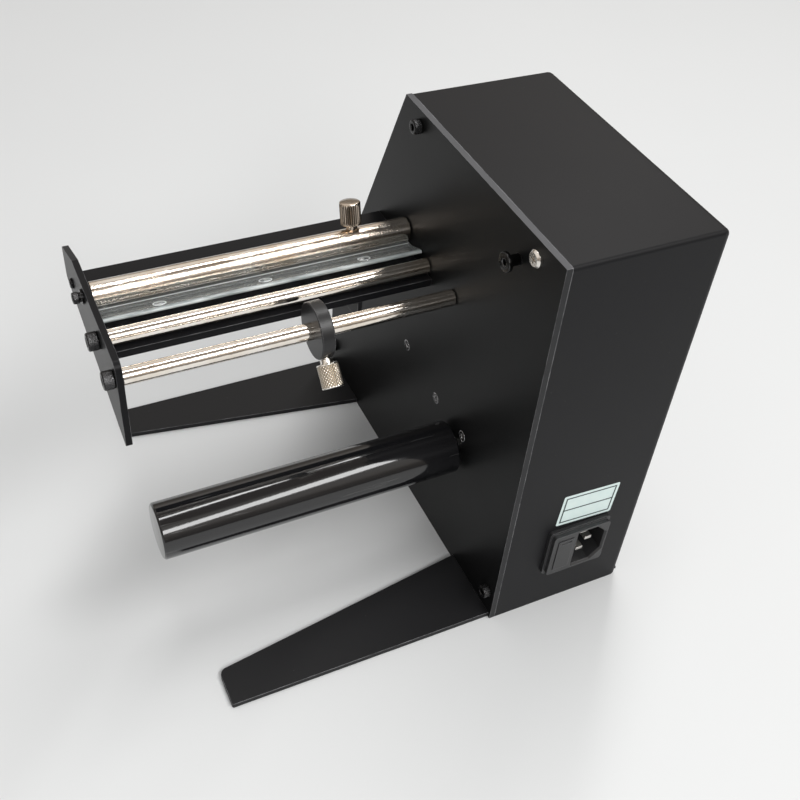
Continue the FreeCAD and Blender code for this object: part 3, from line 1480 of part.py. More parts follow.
pieces = {
    "side_panel": side_panel,
    "cover": cover,
    "rear_leg": rear_leg,
    "front_leg": front_leg,
    "leg_screws": leg_screws,
    "leg_nuts": leg_nuts,
    "cover_screws": cover_screws,
    "cover_cross_screw": cover_cross_screw,
    "cover_nuts": cover_nuts,
    "holder_stud": holder_stud,
    "panel_nuts": panel_nuts,
    "end_plate": end_plate,
    "front_guide_shaft": front_guide_shaft,
    "rear_guide_shaft": rear_guide_shaft,
    "shaft_screws": shaft_screws,
    "peel_platform": peel_platform,
    "platform_screws": platform_screws,
    "sensor_bracket": sensor_bracket,
    "label_sensor": label_sensor,
    "sensor_screws": sensor_screws,
    "pressure_rod": bar_rod,
    "pressure_tube": bar_tube,
    "pressure_strip": pressure_strip,
    "strip_screws": strip_screws,
    "pressure_thumb_screw": bar_thumb_screw,
    "pressure_rod_screws": bar_screws,
    "pressure_rod_washer": bar_washer,
    "edge_guide_ring": edge_guide_ring,
    "ring_thumb_screw": ring_thumb_screw,
    "rewind_roller": rewind_roller,
    "roller_shaft": roller_shaft,
    "roller_bush": roller_bush,
    "drive_wheel": drive_wheel,
    "idler_gear": idler_gear,
    "idler_pin": idler_pin,
    "motor_pinion": motor_pinion,
    "gearbox_plate": gearbox_plate,
    "gearbox_case": gearbox_case,
    "panel_sunk_screws": panel_sunk_screws,
    "motor_can": motor_can,
    "motor_cap": motor_cap,
    "motor_shaft": motor_shaft,
    "motor_screws": motor_screws,
    "inlet_body": inlet_body,
    "inlet_pins": inlet_pins,
    "fuse_drawer": fuse_drawer,
    "fuse": fuse,
    "switch_frame": switch_frame,
    "switch_rocker": switch_rocker,
    "potentiometer": potentiometer,
    "potentiometer_nut": potentiometer_nut,
    "potentiometer_shaft": potentiometer_shaft,
    "speed_knob": speed_knob,
    "indicator_lamp": indicator_lamp,
    "control_board": control_board,
    "board_standoffs": board_standoffs,
    "board_parts": board_parts,
    "electronics_screws": electronics_screws,
    "transformer": transformer,
    "transformer_bracket": transformer_bracket,
}

os.makedirs("parts", exist_ok=True)
outermost = end_plate_outer + shaft_screw_size
to_origin = FreeCAD.Vector(-(outermost - box_width) / 2, (depth - inlet_proud - drawer_proud) / 2, 0)
for name, make in pieces.items():
    shape = make()
    if isinstance(shape, list):
        shape = Part.makeCompound(shape)
    shape = shape.copy()
    shape.translate(to_origin)
    shape.exportStep("parts/" + name + ".step")
    print(name, len(shape.Solids), round(shape.Volume, 1))
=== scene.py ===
import math

import bpy
import numpy as np
from mathutils import Matrix, Vector


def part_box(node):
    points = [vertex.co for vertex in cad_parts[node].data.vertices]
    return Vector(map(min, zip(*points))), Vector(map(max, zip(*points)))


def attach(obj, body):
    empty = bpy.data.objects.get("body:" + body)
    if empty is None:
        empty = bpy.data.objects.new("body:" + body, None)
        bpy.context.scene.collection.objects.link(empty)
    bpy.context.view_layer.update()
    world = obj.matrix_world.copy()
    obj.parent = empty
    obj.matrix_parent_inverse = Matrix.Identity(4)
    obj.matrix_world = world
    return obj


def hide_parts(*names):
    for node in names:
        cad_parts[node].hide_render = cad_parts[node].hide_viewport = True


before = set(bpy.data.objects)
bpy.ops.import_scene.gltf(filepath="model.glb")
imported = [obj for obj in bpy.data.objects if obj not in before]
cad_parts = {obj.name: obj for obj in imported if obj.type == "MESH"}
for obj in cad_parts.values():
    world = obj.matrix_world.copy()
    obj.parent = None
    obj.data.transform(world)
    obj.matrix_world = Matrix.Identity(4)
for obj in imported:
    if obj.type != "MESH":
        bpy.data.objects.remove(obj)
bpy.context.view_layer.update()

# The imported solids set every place. X is 0 on the side panel's outer face, a forward distance is
# measured from its rear edge, and Z is the height above the floor, all in millimetres.
panel_low, panel_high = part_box("side_panel")


def place(x, forward, z):
    """A point of the row frame, in metres, from millimetres on the machine."""
    return Vector((panel_high.x + x / 1000, panel_high.y - forward / 1000, z / 1000))


# Camera: solved from the photograph's box edges, shafts and legs

camera_azimuth = math.radians(150.864)
camera_elevation = math.radians(43.612)
camera_roll = math.radians(5.761)
camera_focal_share = 1070.5 / 800
camera_spot = (214.5, -264.2, 472.1)
sensor_width = 36.0


def photo_camera():
    """A camera that looks along its azimuth and elevation and is rolled about its own line of sight."""
    back = Vector((math.sin(camera_azimuth) * math.cos(camera_elevation),
                   -math.cos(camera_azimuth) * math.cos(camera_elevation),
                   math.sin(camera_elevation)))
    level = (-back).cross(Vector((0, 0, 1))).normalized()
    upright = level.cross(-back)
    right = level * math.cos(camera_roll) + upright * math.sin(camera_roll)
    up = upright * math.cos(camera_roll) - level * math.sin(camera_roll)
    lens = bpy.data.cameras.new("photo_camera")
    lens.sensor_width = sensor_width
    lens.lens = camera_focal_share * sensor_width
    lens.clip_start = 0.01
    camera = bpy.data.objects.new("photo_camera", lens)
    axes = Matrix((right, up, back)).transposed().to_4x4()
    camera.matrix_world = Matrix.Translation(place(*camera_spot)) @ axes
    bpy.context.scene.collection.objects.link(camera)
    bpy.context.scene.camera = camera


photo_camera()


# Shader maths

class Value:
    """A shader socket that takes part in ordinary arithmetic: each operator adds one Math node."""

    def __init__(self, tree, socket):
        self.tree = tree
        self.socket = socket

    def maths(self, operation, *others, clamp=False):
        node = self.tree.nodes.new("ShaderNodeMath")
        node.operation = operation
        node.use_clamp = clamp
        for slot, value in zip(node.inputs, (self,) + others):
            if isinstance(value, Value):
                self.tree.links.new(value.socket, slot)
            else:
                slot.default_value = value
        return Value(self.tree, node.outputs[0])

    def __add__(self, other):
        return self.maths("ADD", other)

    __radd__ = __add__

    def __mul__(self, other):
        return self.maths("MULTIPLY", other)

    __rmul__ = __mul__

    def __sub__(self, other):
        return self.maths("SUBTRACT", other)

    def __rsub__(self, first):
        return self * -1.0 + first

    def __truediv__(self, other):
        return self.maths("DIVIDE", other)

    def above(self, start, full):
        """0 below start, 1 above full, and a straight ramp between."""
        return ((self - start) / (full - start)).maths("ADD", 0.0, clamp=True)


class Nodes:
    """A node tree under construction and a few shorthands."""

    def __init__(self, tree):
        self.tree = tree

    def node(self, kind, settings=None, sockets=None):
        """Add a node: settings are its properties, sockets its input values or links."""
        node = self.tree.nodes.new(kind)
        for key, value in (settings or {}).items():
            setattr(node, key, value)
        for key, value in (sockets or {}).items():
            self.feed(node.inputs[key], value)
        return node

    def feed(self, slot, value):
        if isinstance(value, Value):
            self.tree.links.new(value.socket, slot)
        elif isinstance(value, bpy.types.NodeSocket):
            self.tree.links.new(value, slot)
        elif isinstance(value, (int, float)):
            slot.default_value = value
        else:
            slot.default_value = tuple(value) + (1.0,) * (len(slot.default_value) - len(value))

    def mix(self, factor, first, second):
        """One colour turning into another."""
        node = self.node("ShaderNodeMix", {"data_type": "RGBA"})
        for name, kind, value in (("Factor", "VALUE", factor), ("A", "RGBA", first), ("B", "RGBA", second)):
            slot = [s for s in node.inputs if s.name == name and s.type == kind][0]
            self.feed(slot, value)
        return [s for s in node.outputs if s.type == "RGBA"][0]

    def ramp(self, value, stops):
        """A colour that runs through its stops, each a position and a colour."""
        node = self.node("ShaderNodeValToRGB", sockets={"Fac": value})
        elements = node.color_ramp.elements
        while len(elements) < len(stops):
            elements.new(0.5)
        for element, (position, colour) in zip(elements, stops):
            element.position = position
            element.color = (*colour, 1.0)
        return node.outputs["Color"]


class Finish(Nodes):
    """A material under construction, with its Principled shader."""

    def __init__(self, name):
        self.material = bpy.data.materials.new(name)
        self.material.use_nodes = True
        super().__init__(self.material.node_tree)
        self.shader = self.tree.nodes["Principled BSDF"]
        self.where = self.node("ShaderNodeTexCoord").outputs["Object"]

    def set(self, **sockets):
        """Feed the Principled shader's sockets; an underscore in a name stands for a space."""
        for key, value in sockets.items():
            self.feed(self.shader.inputs[key.replace("_", " ")], value)
        return self

    def stretched(self, scale, turn=(0, 0, 0)):
        """Object coordinates scaled by a different factor along each axis."""
        sockets = {"Vector": self.where, "Scale": scale, "Rotation": turn}
        return self.node("ShaderNodeMapping", sockets=sockets).outputs[0]

    def upper_cut(self):
        """1 on a plate's cut face where that looks upwards, and 0 on the plate's two sides and under it: the
        mask of a painted highlight on cut faces that face the lamps.
        """
        normal = self.node("ShaderNodeTexCoord").outputs["Normal"]
        parts = self.node("ShaderNodeSeparateXYZ", sockets={"Vector": normal})
        along = Value(self.tree, parts.outputs["X"]).maths("ABSOLUTE").above(0.3, 0.7)
        return (1 - along) * (0.2 + Value(self.tree, parts.outputs["Z"]).above(0.1, 0.8) * 0.8)

    def noise(self, scale, detail=2.0, stretch=None):
        """Smooth noise from 0 to 1 with features about 1/scale metres across."""
        where = self.stretched(stretch) if stretch else self.where
        node = self.node("ShaderNodeTexNoise", sockets={"Vector": where, "Scale": scale, "Detail": detail})
        return Value(self.tree, node.outputs["Fac"])

    def specks(self, scale, size):
        """Sparse round specks: 1 inside them and 0 elsewhere, from the distance to scattered points."""
        node = self.node("ShaderNodeTexVoronoi", sockets={"Vector": self.where, "Scale": scale})
        return 1 - Value(self.tree, node.outputs["Distance"]).above(size * 0.5, size)

    def rounded(self, radius):
        """A normal that rounds sharp edges by radius metres."""
        return self.node("ShaderNodeBevel", {"samples": 6}, {"Radius": radius}).outputs[0]

    def edges(self, normal):
        """1 where the rounded normal leaves the true one, which is along the edges."""
        true = self.node("ShaderNodeNewGeometry").outputs["True Normal"]
        dot = self.node("ShaderNodeVectorMath", {"operation": "DOT_PRODUCT"})
        self.feed(dot.inputs[0], normal)
        self.feed(dot.inputs[1], true)
        return (1 - Value(self.tree, dot.outputs["Value"])).above(0.01, 0.12)

    def bump(self, height, distance, normal=None):
        sockets = {"Height": height, "Distance": distance, "Strength": 1.0}
        if normal is not None:
            sockets["Normal"] = normal
        return self.node("ShaderNodeBump", sockets=sockets).outputs[0]


def satin_enamel(name, dark, light, roughness, gloss, edge_radius=0.00035, cut=(0.02, 0.02, 0.02)):
    """Black satin paint: faint orange peel, sparse dust, edges lightened by a painted highlight with some wear,
    and paler cut faces that carry a painted highlight where they look upwards.
    """
    paint = Finish(name)
    cloud = paint.noise(28.0, 3.0)
    grain = paint.noise(2600.0, 2.0)
    normal = paint.rounded(edge_radius)
    wear_and_highlight = paint.edges(normal) * (0.3 + paint.noise(160.0, 3.0).above(0.35, 0.65) * 0.7)
    dust = paint.specks(160.0, 0.03)
    base = paint.mix(cloud, dark, light)
    # Cut faces take the cut colour: a little everywhere as their own paler paint, and most where they look
    # upwards as a painted highlight.
    base = paint.mix(paint.upper_cut() * (0.5 + cloud * 0.5), base, cut)
    # Edges blend towards pale grey: a painted highlight, with some wear.
    base = paint.mix(wear_and_highlight * 0.85, base, (0.36, 0.36, 0.37))
    base = paint.mix(dust * 0.3, base, (0.26, 0.26, 0.27))
    peel = paint.noise(900.0, 2.0) * 0.6 + grain * 0.4
    paint.set(Base_Color=base, Roughness=roughness + cloud * 0.06 + grain * 0.05 - wear_and_highlight * 0.1,
              Specular_IOR_Level=gloss, Normal=paint.bump(peel, 0.00001, normal))
    return paint.material


def bright_metal(name, colour, shade, roughness, grain_depth, stretch=None):
    """Plated steel: its reflection is broken by a fine pitted grain, which is stronger in slow stains."""
    metal = Finish(name)
    stain = metal.noise(60.0, 4.0)
    pits = metal.noise(1500.0, 3.0, stretch)
    patch = metal.noise(34.0, 3.0).above(0.4, 0.62)
    metal.set(Base_Color=metal.mix(stain.above(0.35, 0.75), colour, shade), Metallic=1.0,
              Roughness=roughness + stain * 0.04 + pits * 0.05,
              Normal=metal.bump(pits * (0.35 + patch * 0.65), grain_depth, metal.rounded(0.0002)))
    return metal.material


def knurled_nickel(name, colour, stained, valley_shade):
    """Nickel whose knurl is painted darker towards the bottom of its valleys, as shade there; the knurl's depth
    is an attribute of the mesh.
    """
    metal = Finish(name)
    depth = Value(metal.tree, metal.node("ShaderNodeAttribute", {"attribute_name": "knurl"}).outputs["Fac"])
    tarnish = metal.noise(420.0, 3.0)
    crest = metal.mix(tarnish, colour, stained)
    # Darker towards the bottom of each knurl valley: painted shade.
    metal.set(Base_Color=metal.mix(depth.above(0.25, 0.85), crest, valley_shade), Metallic=1.0,
              Roughness=0.16 + depth * 0.3 + tarnish * 0.06)
    return metal.material


def black_oxide(name, roughness=0.22, edge=0.3, edge_radius=0.0002, body=0.016):
    """Blackened steel: dark metal with a slightly oily sheen, and edges lightened to the edge colour as a
    painted highlight with some wear.
    """
    steel = Finish(name)
    blotch = steel.noise(500.0, 3.0)
    normal = steel.rounded(edge_radius)
    wear_and_highlight = steel.edges(normal)
    # Edges blend to the edge colour: a painted highlight, with some wear.
    base = steel.mix(wear_and_highlight * 0.8, (body, body, body * 1.05), (edge, edge, edge * 1.02))
    steel.set(Base_Color=base, Metallic=0.8, Roughness=roughness + blotch * 0.1,
              Normal=steel.bump(blotch, 0.000008, normal))
    return steel.material


def moulded_plastic(name, colour, roughness):
    """Moulded plastic with a fine spark-eroded grain and edges made paler by a painted highlight."""
    plastic = Finish(name)
    normal = plastic.rounded(0.0003)
    grain = plastic.noise(1800.0, 2.0)
    cloud = plastic.noise(90.0, 2.0)
    lighter = tuple(min(1.0, part * 1.25 + 0.004) for part in colour)
    # Edges blend towards pale grey: a painted highlight.
    base = plastic.mix(plastic.edges(normal) * 0.5, plastic.mix(cloud, colour, lighter), (0.22, 0.22, 0.23))
    plastic.set(Base_Color=base, Roughness=roughness + grain * 0.12,
                Normal=plastic.bump(grain, 0.000012, normal))
    return plastic.material


def mandrel_black():
    """Polished black roller: fine waves along it break the highlights, with bright scuffs near its end and a
    painted highlight along its edges.
    """
    roller = Finish("mandrel_black")
    streak = roller.noise(40.0, 4.0, (0.6, 22.0, 22.0))
    wave = roller.noise(320.0, 3.0, (0.5, 1.0, 1.0))
    scuff = roller.noise(70.0, 5.0, (0.35, 9.0, 9.0)).above(0.66, 0.74)
    speck = roller.specks(210.0, 0.05)
    normal = roller.rounded(0.00015)
    base = roller.mix(streak, (0.006, 0.006, 0.007), (0.013, 0.013, 0.014))
    base = roller.mix(scuff * 0.4 + speck * 0.3, base, (0.16, 0.16, 0.16))
    # Edges blend towards grey: a painted highlight.
    base = roller.mix(roller.edges(normal) * 0.5, base, (0.2, 0.2, 0.2))
    roller.set(Base_Color=base, Roughness=0.06 + streak * 0.07 + scuff * 0.2, Coat_Weight=0.3,
               Normal=roller.bump(wave * 0.7 + streak * 0.3, 0.00003, normal))
    return roller.material


def clear_acrylic():
    """Clear plastic with a faint haze and scratches."""
    acrylic = Finish("clear_acrylic")
    haze = acrylic.noise(90.0, 4.0)
    scratch = acrylic.noise(120.0, 3.0, (0.3, 4.0, 4.0)).above(0.62, 0.7)
    acrylic.set(Base_Color=acrylic.mix(haze, (0.90, 0.96, 0.95), (0.96, 0.985, 0.98)), IOR=1.49,
                Transmission_Weight=0.88, Roughness=0.02 + haze * 0.05 + scratch * 0.15,
                Normal=acrylic.rounded(0.0004))
    return acrylic.material


def cut_edge(name, dark, light):
    """A sawn and flame-polished edge of clear plastic, in an opaque pale colour that paints the light such an
    edge gathers: a painted highlight.
    """
    edge = Finish(name)
    ripple = edge.noise(260.0, 3.0, (0.25, 2.0, 2.0))
    edge.set(Base_Color=edge.mix(ripple.above(0.35, 0.65), dark, light),
             Roughness=0.14 + ripple * 0.2, Coat_Weight=0.3, Normal=edge.bump(ripple, 0.00006))
    return edge.material


def plain_metal(name, colour, roughness, lathe_cut=False):
    """Machined metal, with fine cutting lines across X where it was turned."""
    metal = Finish(name)
    stretch = (30.0, 1.0, 1.0) if lathe_cut else (1.0, 1.0, 1.0)
    lines = metal.noise(220.0, 3.0, stretch)
    darker = tuple(part * 0.7 for part in colour)
    metal.set(Base_Color=metal.mix(lines, colour, darker), Metallic=1.0, Roughness=roughness + lines * 0.12,
              Normal=metal.bump(lines, 0.00002, metal.rounded(0.0002)))
    return metal.material


def laminated_core():
    """Stacked sheet laminations: fine lines across the stack."""
    core = Finish("laminated_core")
    lines = core.node("ShaderNodeTexWave", {"wave_type": "BANDS", "bands_direction": "X"},
                      {"Vector": core.where, "Scale": 320.0, "Distortion": 0.4})
    lines = Value(core.tree, lines.outputs["Fac"])
    core.set(Base_Color=core.mix(lines, (0.09, 0.08, 0.07), (0.25, 0.23, 0.2)), Metallic=0.6,
             Roughness=0.5 + lines * 0.2, Normal=core.bump(lines, 0.00005))
    return core.material


def circuit_board():
    """Green solder mask with paler tracks under it."""
    board = Finish("circuit_board")
    tracks = board.node("ShaderNodeTexBrick", {"offset": 0.5}, {
        "Vector": board.stretched((1.0, 1.0, 1.0), (0, math.pi / 2, 0)), "Scale": 260.0, "Mortar Size": 0.03,
        "Color1": (0.012, 0.11, 0.045), "Color2": (0.015, 0.13, 0.05), "Mortar": (0.03, 0.22, 0.09)})
    board.set(Base_Color=tracks.outputs["Color"], Roughness=0.3 + board.noise(400.0) * 0.1, Coat_Weight=0.3)
    return board.material


def lamp_lens():
    """A tinted, slightly frosted lens, unlit."""
    lens = Finish("lamp_lens")
    frost = lens.noise(700.0, 2.0)
    lens.set(Base_Color=lens.mix(frost, (0.02, 0.32, 0.09), (0.05, 0.42, 0.14)), Roughness=0.12 + frost * 0.1,
             Coat_Weight=0.6, Normal=lens.bump(frost, 0.00002, lens.rounded(0.0004)))
    return lens.material


def sticker_paper():
    """A pale coated label, a little mottled."""
    paper = Finish("sticker_paper")
    mottle = paper.noise(240.0, 4.0)
    paper.set(Base_Color=paper.mix(mottle, (0.62, 0.76, 0.74), (0.74, 0.83, 0.80)),
              Roughness=0.34 + mottle * 0.12, Normal=paper.bump(mottle, 0.00001))
    return paper.material


def printed_ink(name, colour):
    """Screen-printed ink, slightly uneven."""
    ink = Finish(name)
    uneven = ink.noise(1500.0, 2.0)
    lighter = tuple(min(1.0, part * 1.2 + 0.01) for part in colour)
    ink.set(Base_Color=ink.mix(uneven, colour, lighter), Roughness=0.5 + uneven * 0.15)
    return ink.material


finishes = {
    # The panel's pale cut colour paints a highlight along its upward cut edges.
    "panel": satin_enamel("panel_enamel", (0.0045, 0.0048, 0.0052), (0.0075, 0.0077, 0.008), 0.34, 0.14,
                          cut=(0.12, 0.12, 0.125)),
    "cover": satin_enamel("cover_enamel", (0.008, 0.008, 0.009), (0.011, 0.011, 0.012), 0.38, 0.13, 0.0006,
                          cut=(0.010, 0.010, 0.011)),
    "leg": satin_enamel("leg_enamel", (0.009, 0.009, 0.010), (0.014, 0.014, 0.015), 0.42, 0.2, 0.0005,
                        (0.012, 0.012, 0.013)),
    "plate": satin_enamel("plate_enamel", (0.004, 0.004, 0.005), (0.007, 0.007, 0.008), 0.28, 0.1, 0.0003,
                          (0.012, 0.012, 0.013)),
    "anodised": satin_enamel("black_anodised", (0.009, 0.009, 0.010), (0.014, 0.014, 0.015), 0.28, 0.38,
                             0.0003),
    "mandrel": mandrel_black(),
    "shaft": bright_metal("shaft_plating", (0.88, 0.84, 0.79), (0.74, 0.66, 0.56), 0.05, 0.00005,
                          (0.4, 1.0, 1.0)),
    "tube": bright_metal("tube_plating", (0.86, 0.81, 0.75), (0.68, 0.57, 0.46), 0.06, 0.00012),
    "nickel": bright_metal("nickel_plating", (0.88, 0.86, 0.82), (0.74, 0.70, 0.64), 0.12, 0.00001),
    # Each knurl's last colour is the painted shade at the bottom of its valleys.
    "straight_knurl": knurled_nickel("straight_knurl", (0.72, 0.64, 0.55), (0.52, 0.44, 0.36),
                                     (0.035, 0.025, 0.018)),
    "diamond_knurl": knurled_nickel("diamond_knurl", (0.96, 0.94, 0.90), (0.86, 0.80, 0.72),
                                    (0.36, 0.29, 0.20)),
    # The edge colour of each black oxide finish paints a highlight along its rims; the stud's and the sunk
    # screws' are the palest.
    "oxide": black_oxide("black_oxide"),
    "stud": black_oxide("stud_black", 0.12, 0.6, 0.0003, 0.006),
    "sunk": black_oxide("sunk_screw_plating", 0.16, 0.95, 0.0006, 0.05),
    "acrylic": clear_acrylic(),
    # Opaque pale colours that paint highlights on the clear strip's edges.
    "cut_edge": cut_edge("cut_edge", (0.20, 0.23, 0.23), (0.55, 0.59, 0.59)),
    "rim_glint": cut_edge("rim_glint", (0.80, 0.84, 0.84), (0.95, 0.97, 0.97)),
    "zinc": plain_metal("zinc_plating", (0.62, 0.64, 0.66), 0.28),
    "bronze": plain_metal("sintered_bronze", (0.60, 0.40, 0.20), 0.35),
    "steel": plain_metal("ground_steel", (0.58, 0.58, 0.57), 0.22, True),
    "brass": plain_metal("cut_brass", (0.74, 0.56, 0.27), 0.25),
    "casting": plain_metal("die_casting", (0.52, 0.53, 0.54), 0.45),
    "moulding": moulded_plastic("black_moulding", (0.016, 0.016, 0.017), 0.34),
    "component": moulded_plastic("component_blue", (0.02, 0.09, 0.25), 0.35),
    "contact": plain_metal("contact_plating", (0.94, 0.92, 0.87), 0.32),
    "laminated": laminated_core(),
    "board": circuit_board(),
    "lens": lamp_lens(),
    "paper": sticker_paper(),
    "frame_ink": printed_ink("label_ink", (0.015, 0.03, 0.03)),
    "white_ink": printed_ink("dial_ink", (0.70, 0.70, 0.68)),
}

node_finishes = {
    "panel": ["side_panel"],
    "cover": ["cover"],
    "leg": ["rear_leg", "front_leg", "sensor_bracket"],
    "plate": ["end_plate", "peel_platform"],
    "anodised": ["edge_guide_ring"],
    "mandrel": ["rewind_roller"],
    "shaft": ["front_guide_shaft", "rear_guide_shaft", "pressure_rod"],
    "tube": ["pressure_tube"],
    "acrylic": ["pressure_strip"],
    "oxide": ["leg_screws", "cover_screws", "shaft_screws", "platform_screws", "sensor_screws",
              "pressure_rod_screws", "pressure_rod_washer"],
    "sunk": ["panel_sunk_screws"],
    "nickel": ["pressure_thumb_screw", "ring_thumb_screw", "cover_cross_screw", "strip_screws"],
    "zinc": ["leg_nuts", "cover_nuts", "panel_nuts", "motor_screws", "electronics_screws", "board_standoffs",
             "motor_can", "transformer_bracket", "potentiometer", "potentiometer_nut", "potentiometer_shaft"],
    "bronze": ["roller_bush"],
    "steel": ["roller_shaft", "idler_pin", "motor_shaft", "drive_wheel", "idler_gear"],
    "brass": ["motor_pinion"],
    "casting": ["gearbox_plate", "gearbox_case"],
    "moulding": ["motor_cap", "label_sensor", "inlet_body", "fuse_drawer", "switch_frame",
                 "switch_rocker", "speed_knob"],
    "contact": ["inlet_pins", "fuse"],
    "laminated": ["transformer"],
    "board": ["control_board"],
    "component": ["board_parts"],
    "lens": ["indicator_lamp"],
}
for finish, nodes in node_finishes.items():
    for node in nodes:
        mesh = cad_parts[node].data
        mesh.materials.clear()
        mesh.materials.append(finishes[finish])


# Surfaces

def about(direction):
    """An axis of length 1 and two directions square to it and to each other."""
    axis = np.asarray(direction, float)
    axis = axis / np.linalg.norm(axis)
    helper = np.array((1.0, 0.0, 0.0)) if abs(axis[0]) < 0.9 else np.array((0.0, 0.0, 1.0))
    side = np.cross(helper, axis)
    side = side / np.linalg.norm(side)
    return axis, side, np.cross(axis, side)


def turned(profile, origin, direction, columns, cross=None):
    """A surface of revolution: each profile row is (distance along the axis, radius), in millimetres.

    A point is origin + along * axis + radius * (cos(angle) * side + sin(angle) * across). A cross
    function may change the radii from the angles, distances and radii. The first and last rows are
    single points on the axis, so the surface is closed.
    """
    rows = np.asarray(profile, float)
    axis, side, across = about(direction)
    angle = np.linspace(0, 2 * math.pi, columns, endpoint=False)[None, :]
    along = rows[1:-1, 0][:, None] + 0 * angle
    radius = rows[1:-1, 1][:, None] + 0 * angle
    if cross is not None:
        radius = cross(angle, along, radius)
    body = (along[..., None] * axis + (radius * np.cos(angle))[..., None] * side
            + (radius * np.sin(angle))[..., None] * across).reshape(-1, 3)
    points = np.vstack([rows[0, 0] * axis, body, rows[-1, 0] * axis]) / 1000 + np.asarray(origin)
    count = len(rows) - 2
    index = 1 + np.arange(count * columns).reshape(count, columns)
    ahead = np.roll(index, -1, axis=1)
    quads = np.stack([index[:-1], ahead[:-1], ahead[1:], index[1:]], axis=-1).reshape(-1, 4).tolist()
    last = len(points) - 1
    first_fan = np.stack([np.zeros(columns, int), ahead[0], index[0]], axis=-1).tolist()
    last_fan = np.stack([np.full(columns, last), index[-1], ahead[-1]], axis=-1).tolist()
    return points, quads + first_fan + last_fan


def softened(corners, radius, steps=4):
    """A profile whose inner corners are rounded: each becomes a quadratic curve between points near it."""
    corners = np.asarray(corners, float)
    rows = [corners[0]]
    t = np.linspace(0, 1, steps + 1)[:, None]
    for before, here, after in zip(corners, corners[1:], corners[2:]):
        back = min(radius, np.linalg.norm(before - here) * 0.45)
        ahead = min(radius, np.linalg.norm(after - here) * 0.45)
        start = here + (before - here) / np.linalg.norm(before - here) * back
        end = here + (after - here) / np.linalg.norm(after - here) * ahead
        rows.extend((1 - t) ** 2 * start + 2 * t * (1 - t) * here + t ** 2 * end)
    rows.append(corners[-1])
    return np.array(rows)


def piece(name, shapes, finish, body, *nodes):
    """One object from several closed shapes, riding on a body and standing for the nodes it shows."""
    points = []
    faces = []
    start = 0
    for shape_points, shape_faces in shapes:
        points.append(shape_points)
        faces.extend([[corner + start for corner in face] for face in shape_faces])
        start += len(shape_points)
    mesh = bpy.data.meshes.new(name)
    mesh.from_pydata(np.vstack(points).tolist(), [], faces)
    mesh.shade_smooth()
    mesh.set_sharp_from_angle(angle=math.radians(32))
    mesh.materials.append(finishes[finish])
    made = bpy.data.objects.new(name, mesh)
    bpy.context.scene.collection.objects.link(made)
    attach(made, body)
    if nodes:
        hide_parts(*nodes)
    return made


# Fasteners, in millimetres, with the seat at 0 along their own axis

def hexagon_radius(angle, across_flats):
    """From a hexagon's centre to its edge: half its width over the cosine of the turn from a flat."""
    turn = np.mod(angle + math.pi / 6, math.pi / 3) - math.pi / 6
    return across_flats / 2 / np.cos(turn)


def cap_screw(size, length, head, head_height, origin, direction):
    """A cap screw: a finely fluted head with a rounded rim and a hexagonal socket, on a plain shank."""
    flat = size * 0.8
    mouth = flat * 0.62
    floor = head_height * 0.45
    rim = softened([(0.02, head / 2 - 0.35), (0.35, head / 2), (head_height - 0.45, head / 2),
                    (head_height, head / 2 - 0.45), (head_height, mouth)], 0.3)
    rows = np.vstack([[(-length, 0), (-length, size / 2 - 0.3), (-length + 0.3, size / 2), (0, size / 2)], rim,
                      [(head_height - 0.25, flat / 2), (floor, flat / 2), (floor - 0.4, 0)]])
    flutes = round(head * 7)

    def cross(angle, along, radius):
        side = np.clip((radius - head / 2 + 0.03) / 0.03, 0, 1)
        wave = 0.5 - 0.5 * np.cos(flutes * angle)
        socket = (np.abs(radius - flat / 2) < 1e-6) & (along > floor - 0.01)
        return np.where(socket, hexagon_radius(angle, flat), radius - 0.09 * side * wave)

    return turned(rows, origin, direction, flutes * 4, cross)


def cap_screws(name, node, size, length, places):
    """The cap screws of one node. A head is 1 mm wider than one and a half sizes, and one size high."""
    head = size * 1.5 + 1
    shapes = [cap_screw(size, length, head, size, origin, direction) for origin, direction in places]
    return piece(name, shapes, "oxide", "frame", node)


outwards = (1, 0, 0)
inwards = (-1, 0, 0)
span = (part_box("end_plate")[0].x - panel_high.x) * 1000
outer = (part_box("end_plate")[1].x - panel_high.x) * 1000
panel_inside = -3.0
front_shaft = (106.6, 156.9)
rear_shaft = (79.0, 157.7)
bar = (131.5, 162.7)
roller = (60.0, 75.0)
stud = (32.5, 212.5)
cover_screw_spots = ((128.0, 222.0), (6.2, 17.5), (213.8, 17.5))
washer_thickness = 1.8

shaft_screw_places = [(place(outer, *front_shaft), outwards), (place(outer, *rear_shaft), outwards),
                      (place(panel_inside, *front_shaft), inwards), (place(panel_inside, *rear_shaft), inwards)]
cap_screws("shaft_cap_screws", "shaft_screws", 5.0, 13.0, shaft_screw_places)
cap_screws("cover_cap_screws", "cover_screws", 4.0, 8.5,
           [(place(0, *spot), outwards) for spot in cover_screw_spots])
cap_screws("bar_cap_screws", "pressure_rod_screws", 3.0, 12.0,
           [(place(outer + washer_thickness, *bar), outwards), (place(panel_inside, *bar), inwards)])


# Knurled thumb screws

def triangle_wave(position):
    """0 at whole numbers, 1 half-way between them, in straight lines."""
    return 1 - np.abs(2 * np.mod(position, 1) - 1)


knurl_radius = 5.2
knurl_depth = 0.45
teeth = 30
diamond_share = 0.7
lead = 1.7


def knurl_valleys(points, origin, direction):
    """How deep each point lies in the knurl: 0 on its crests and off it, 1 at the bottom of a valley."""
    offset = (points - np.asarray(origin)) * 1000
    axis = np.asarray(direction)
    along = offset @ axis
    radius = np.linalg.norm(offset - along[:, None] * axis, axis=1)
    on_side = (along > 2.6) & (along < 12.9) & (radius > knurl_radius - knurl_depth - 0.01)
    return np.where(on_side, np.clip((knurl_radius - radius) / knurl_depth, 0, 1), 0)


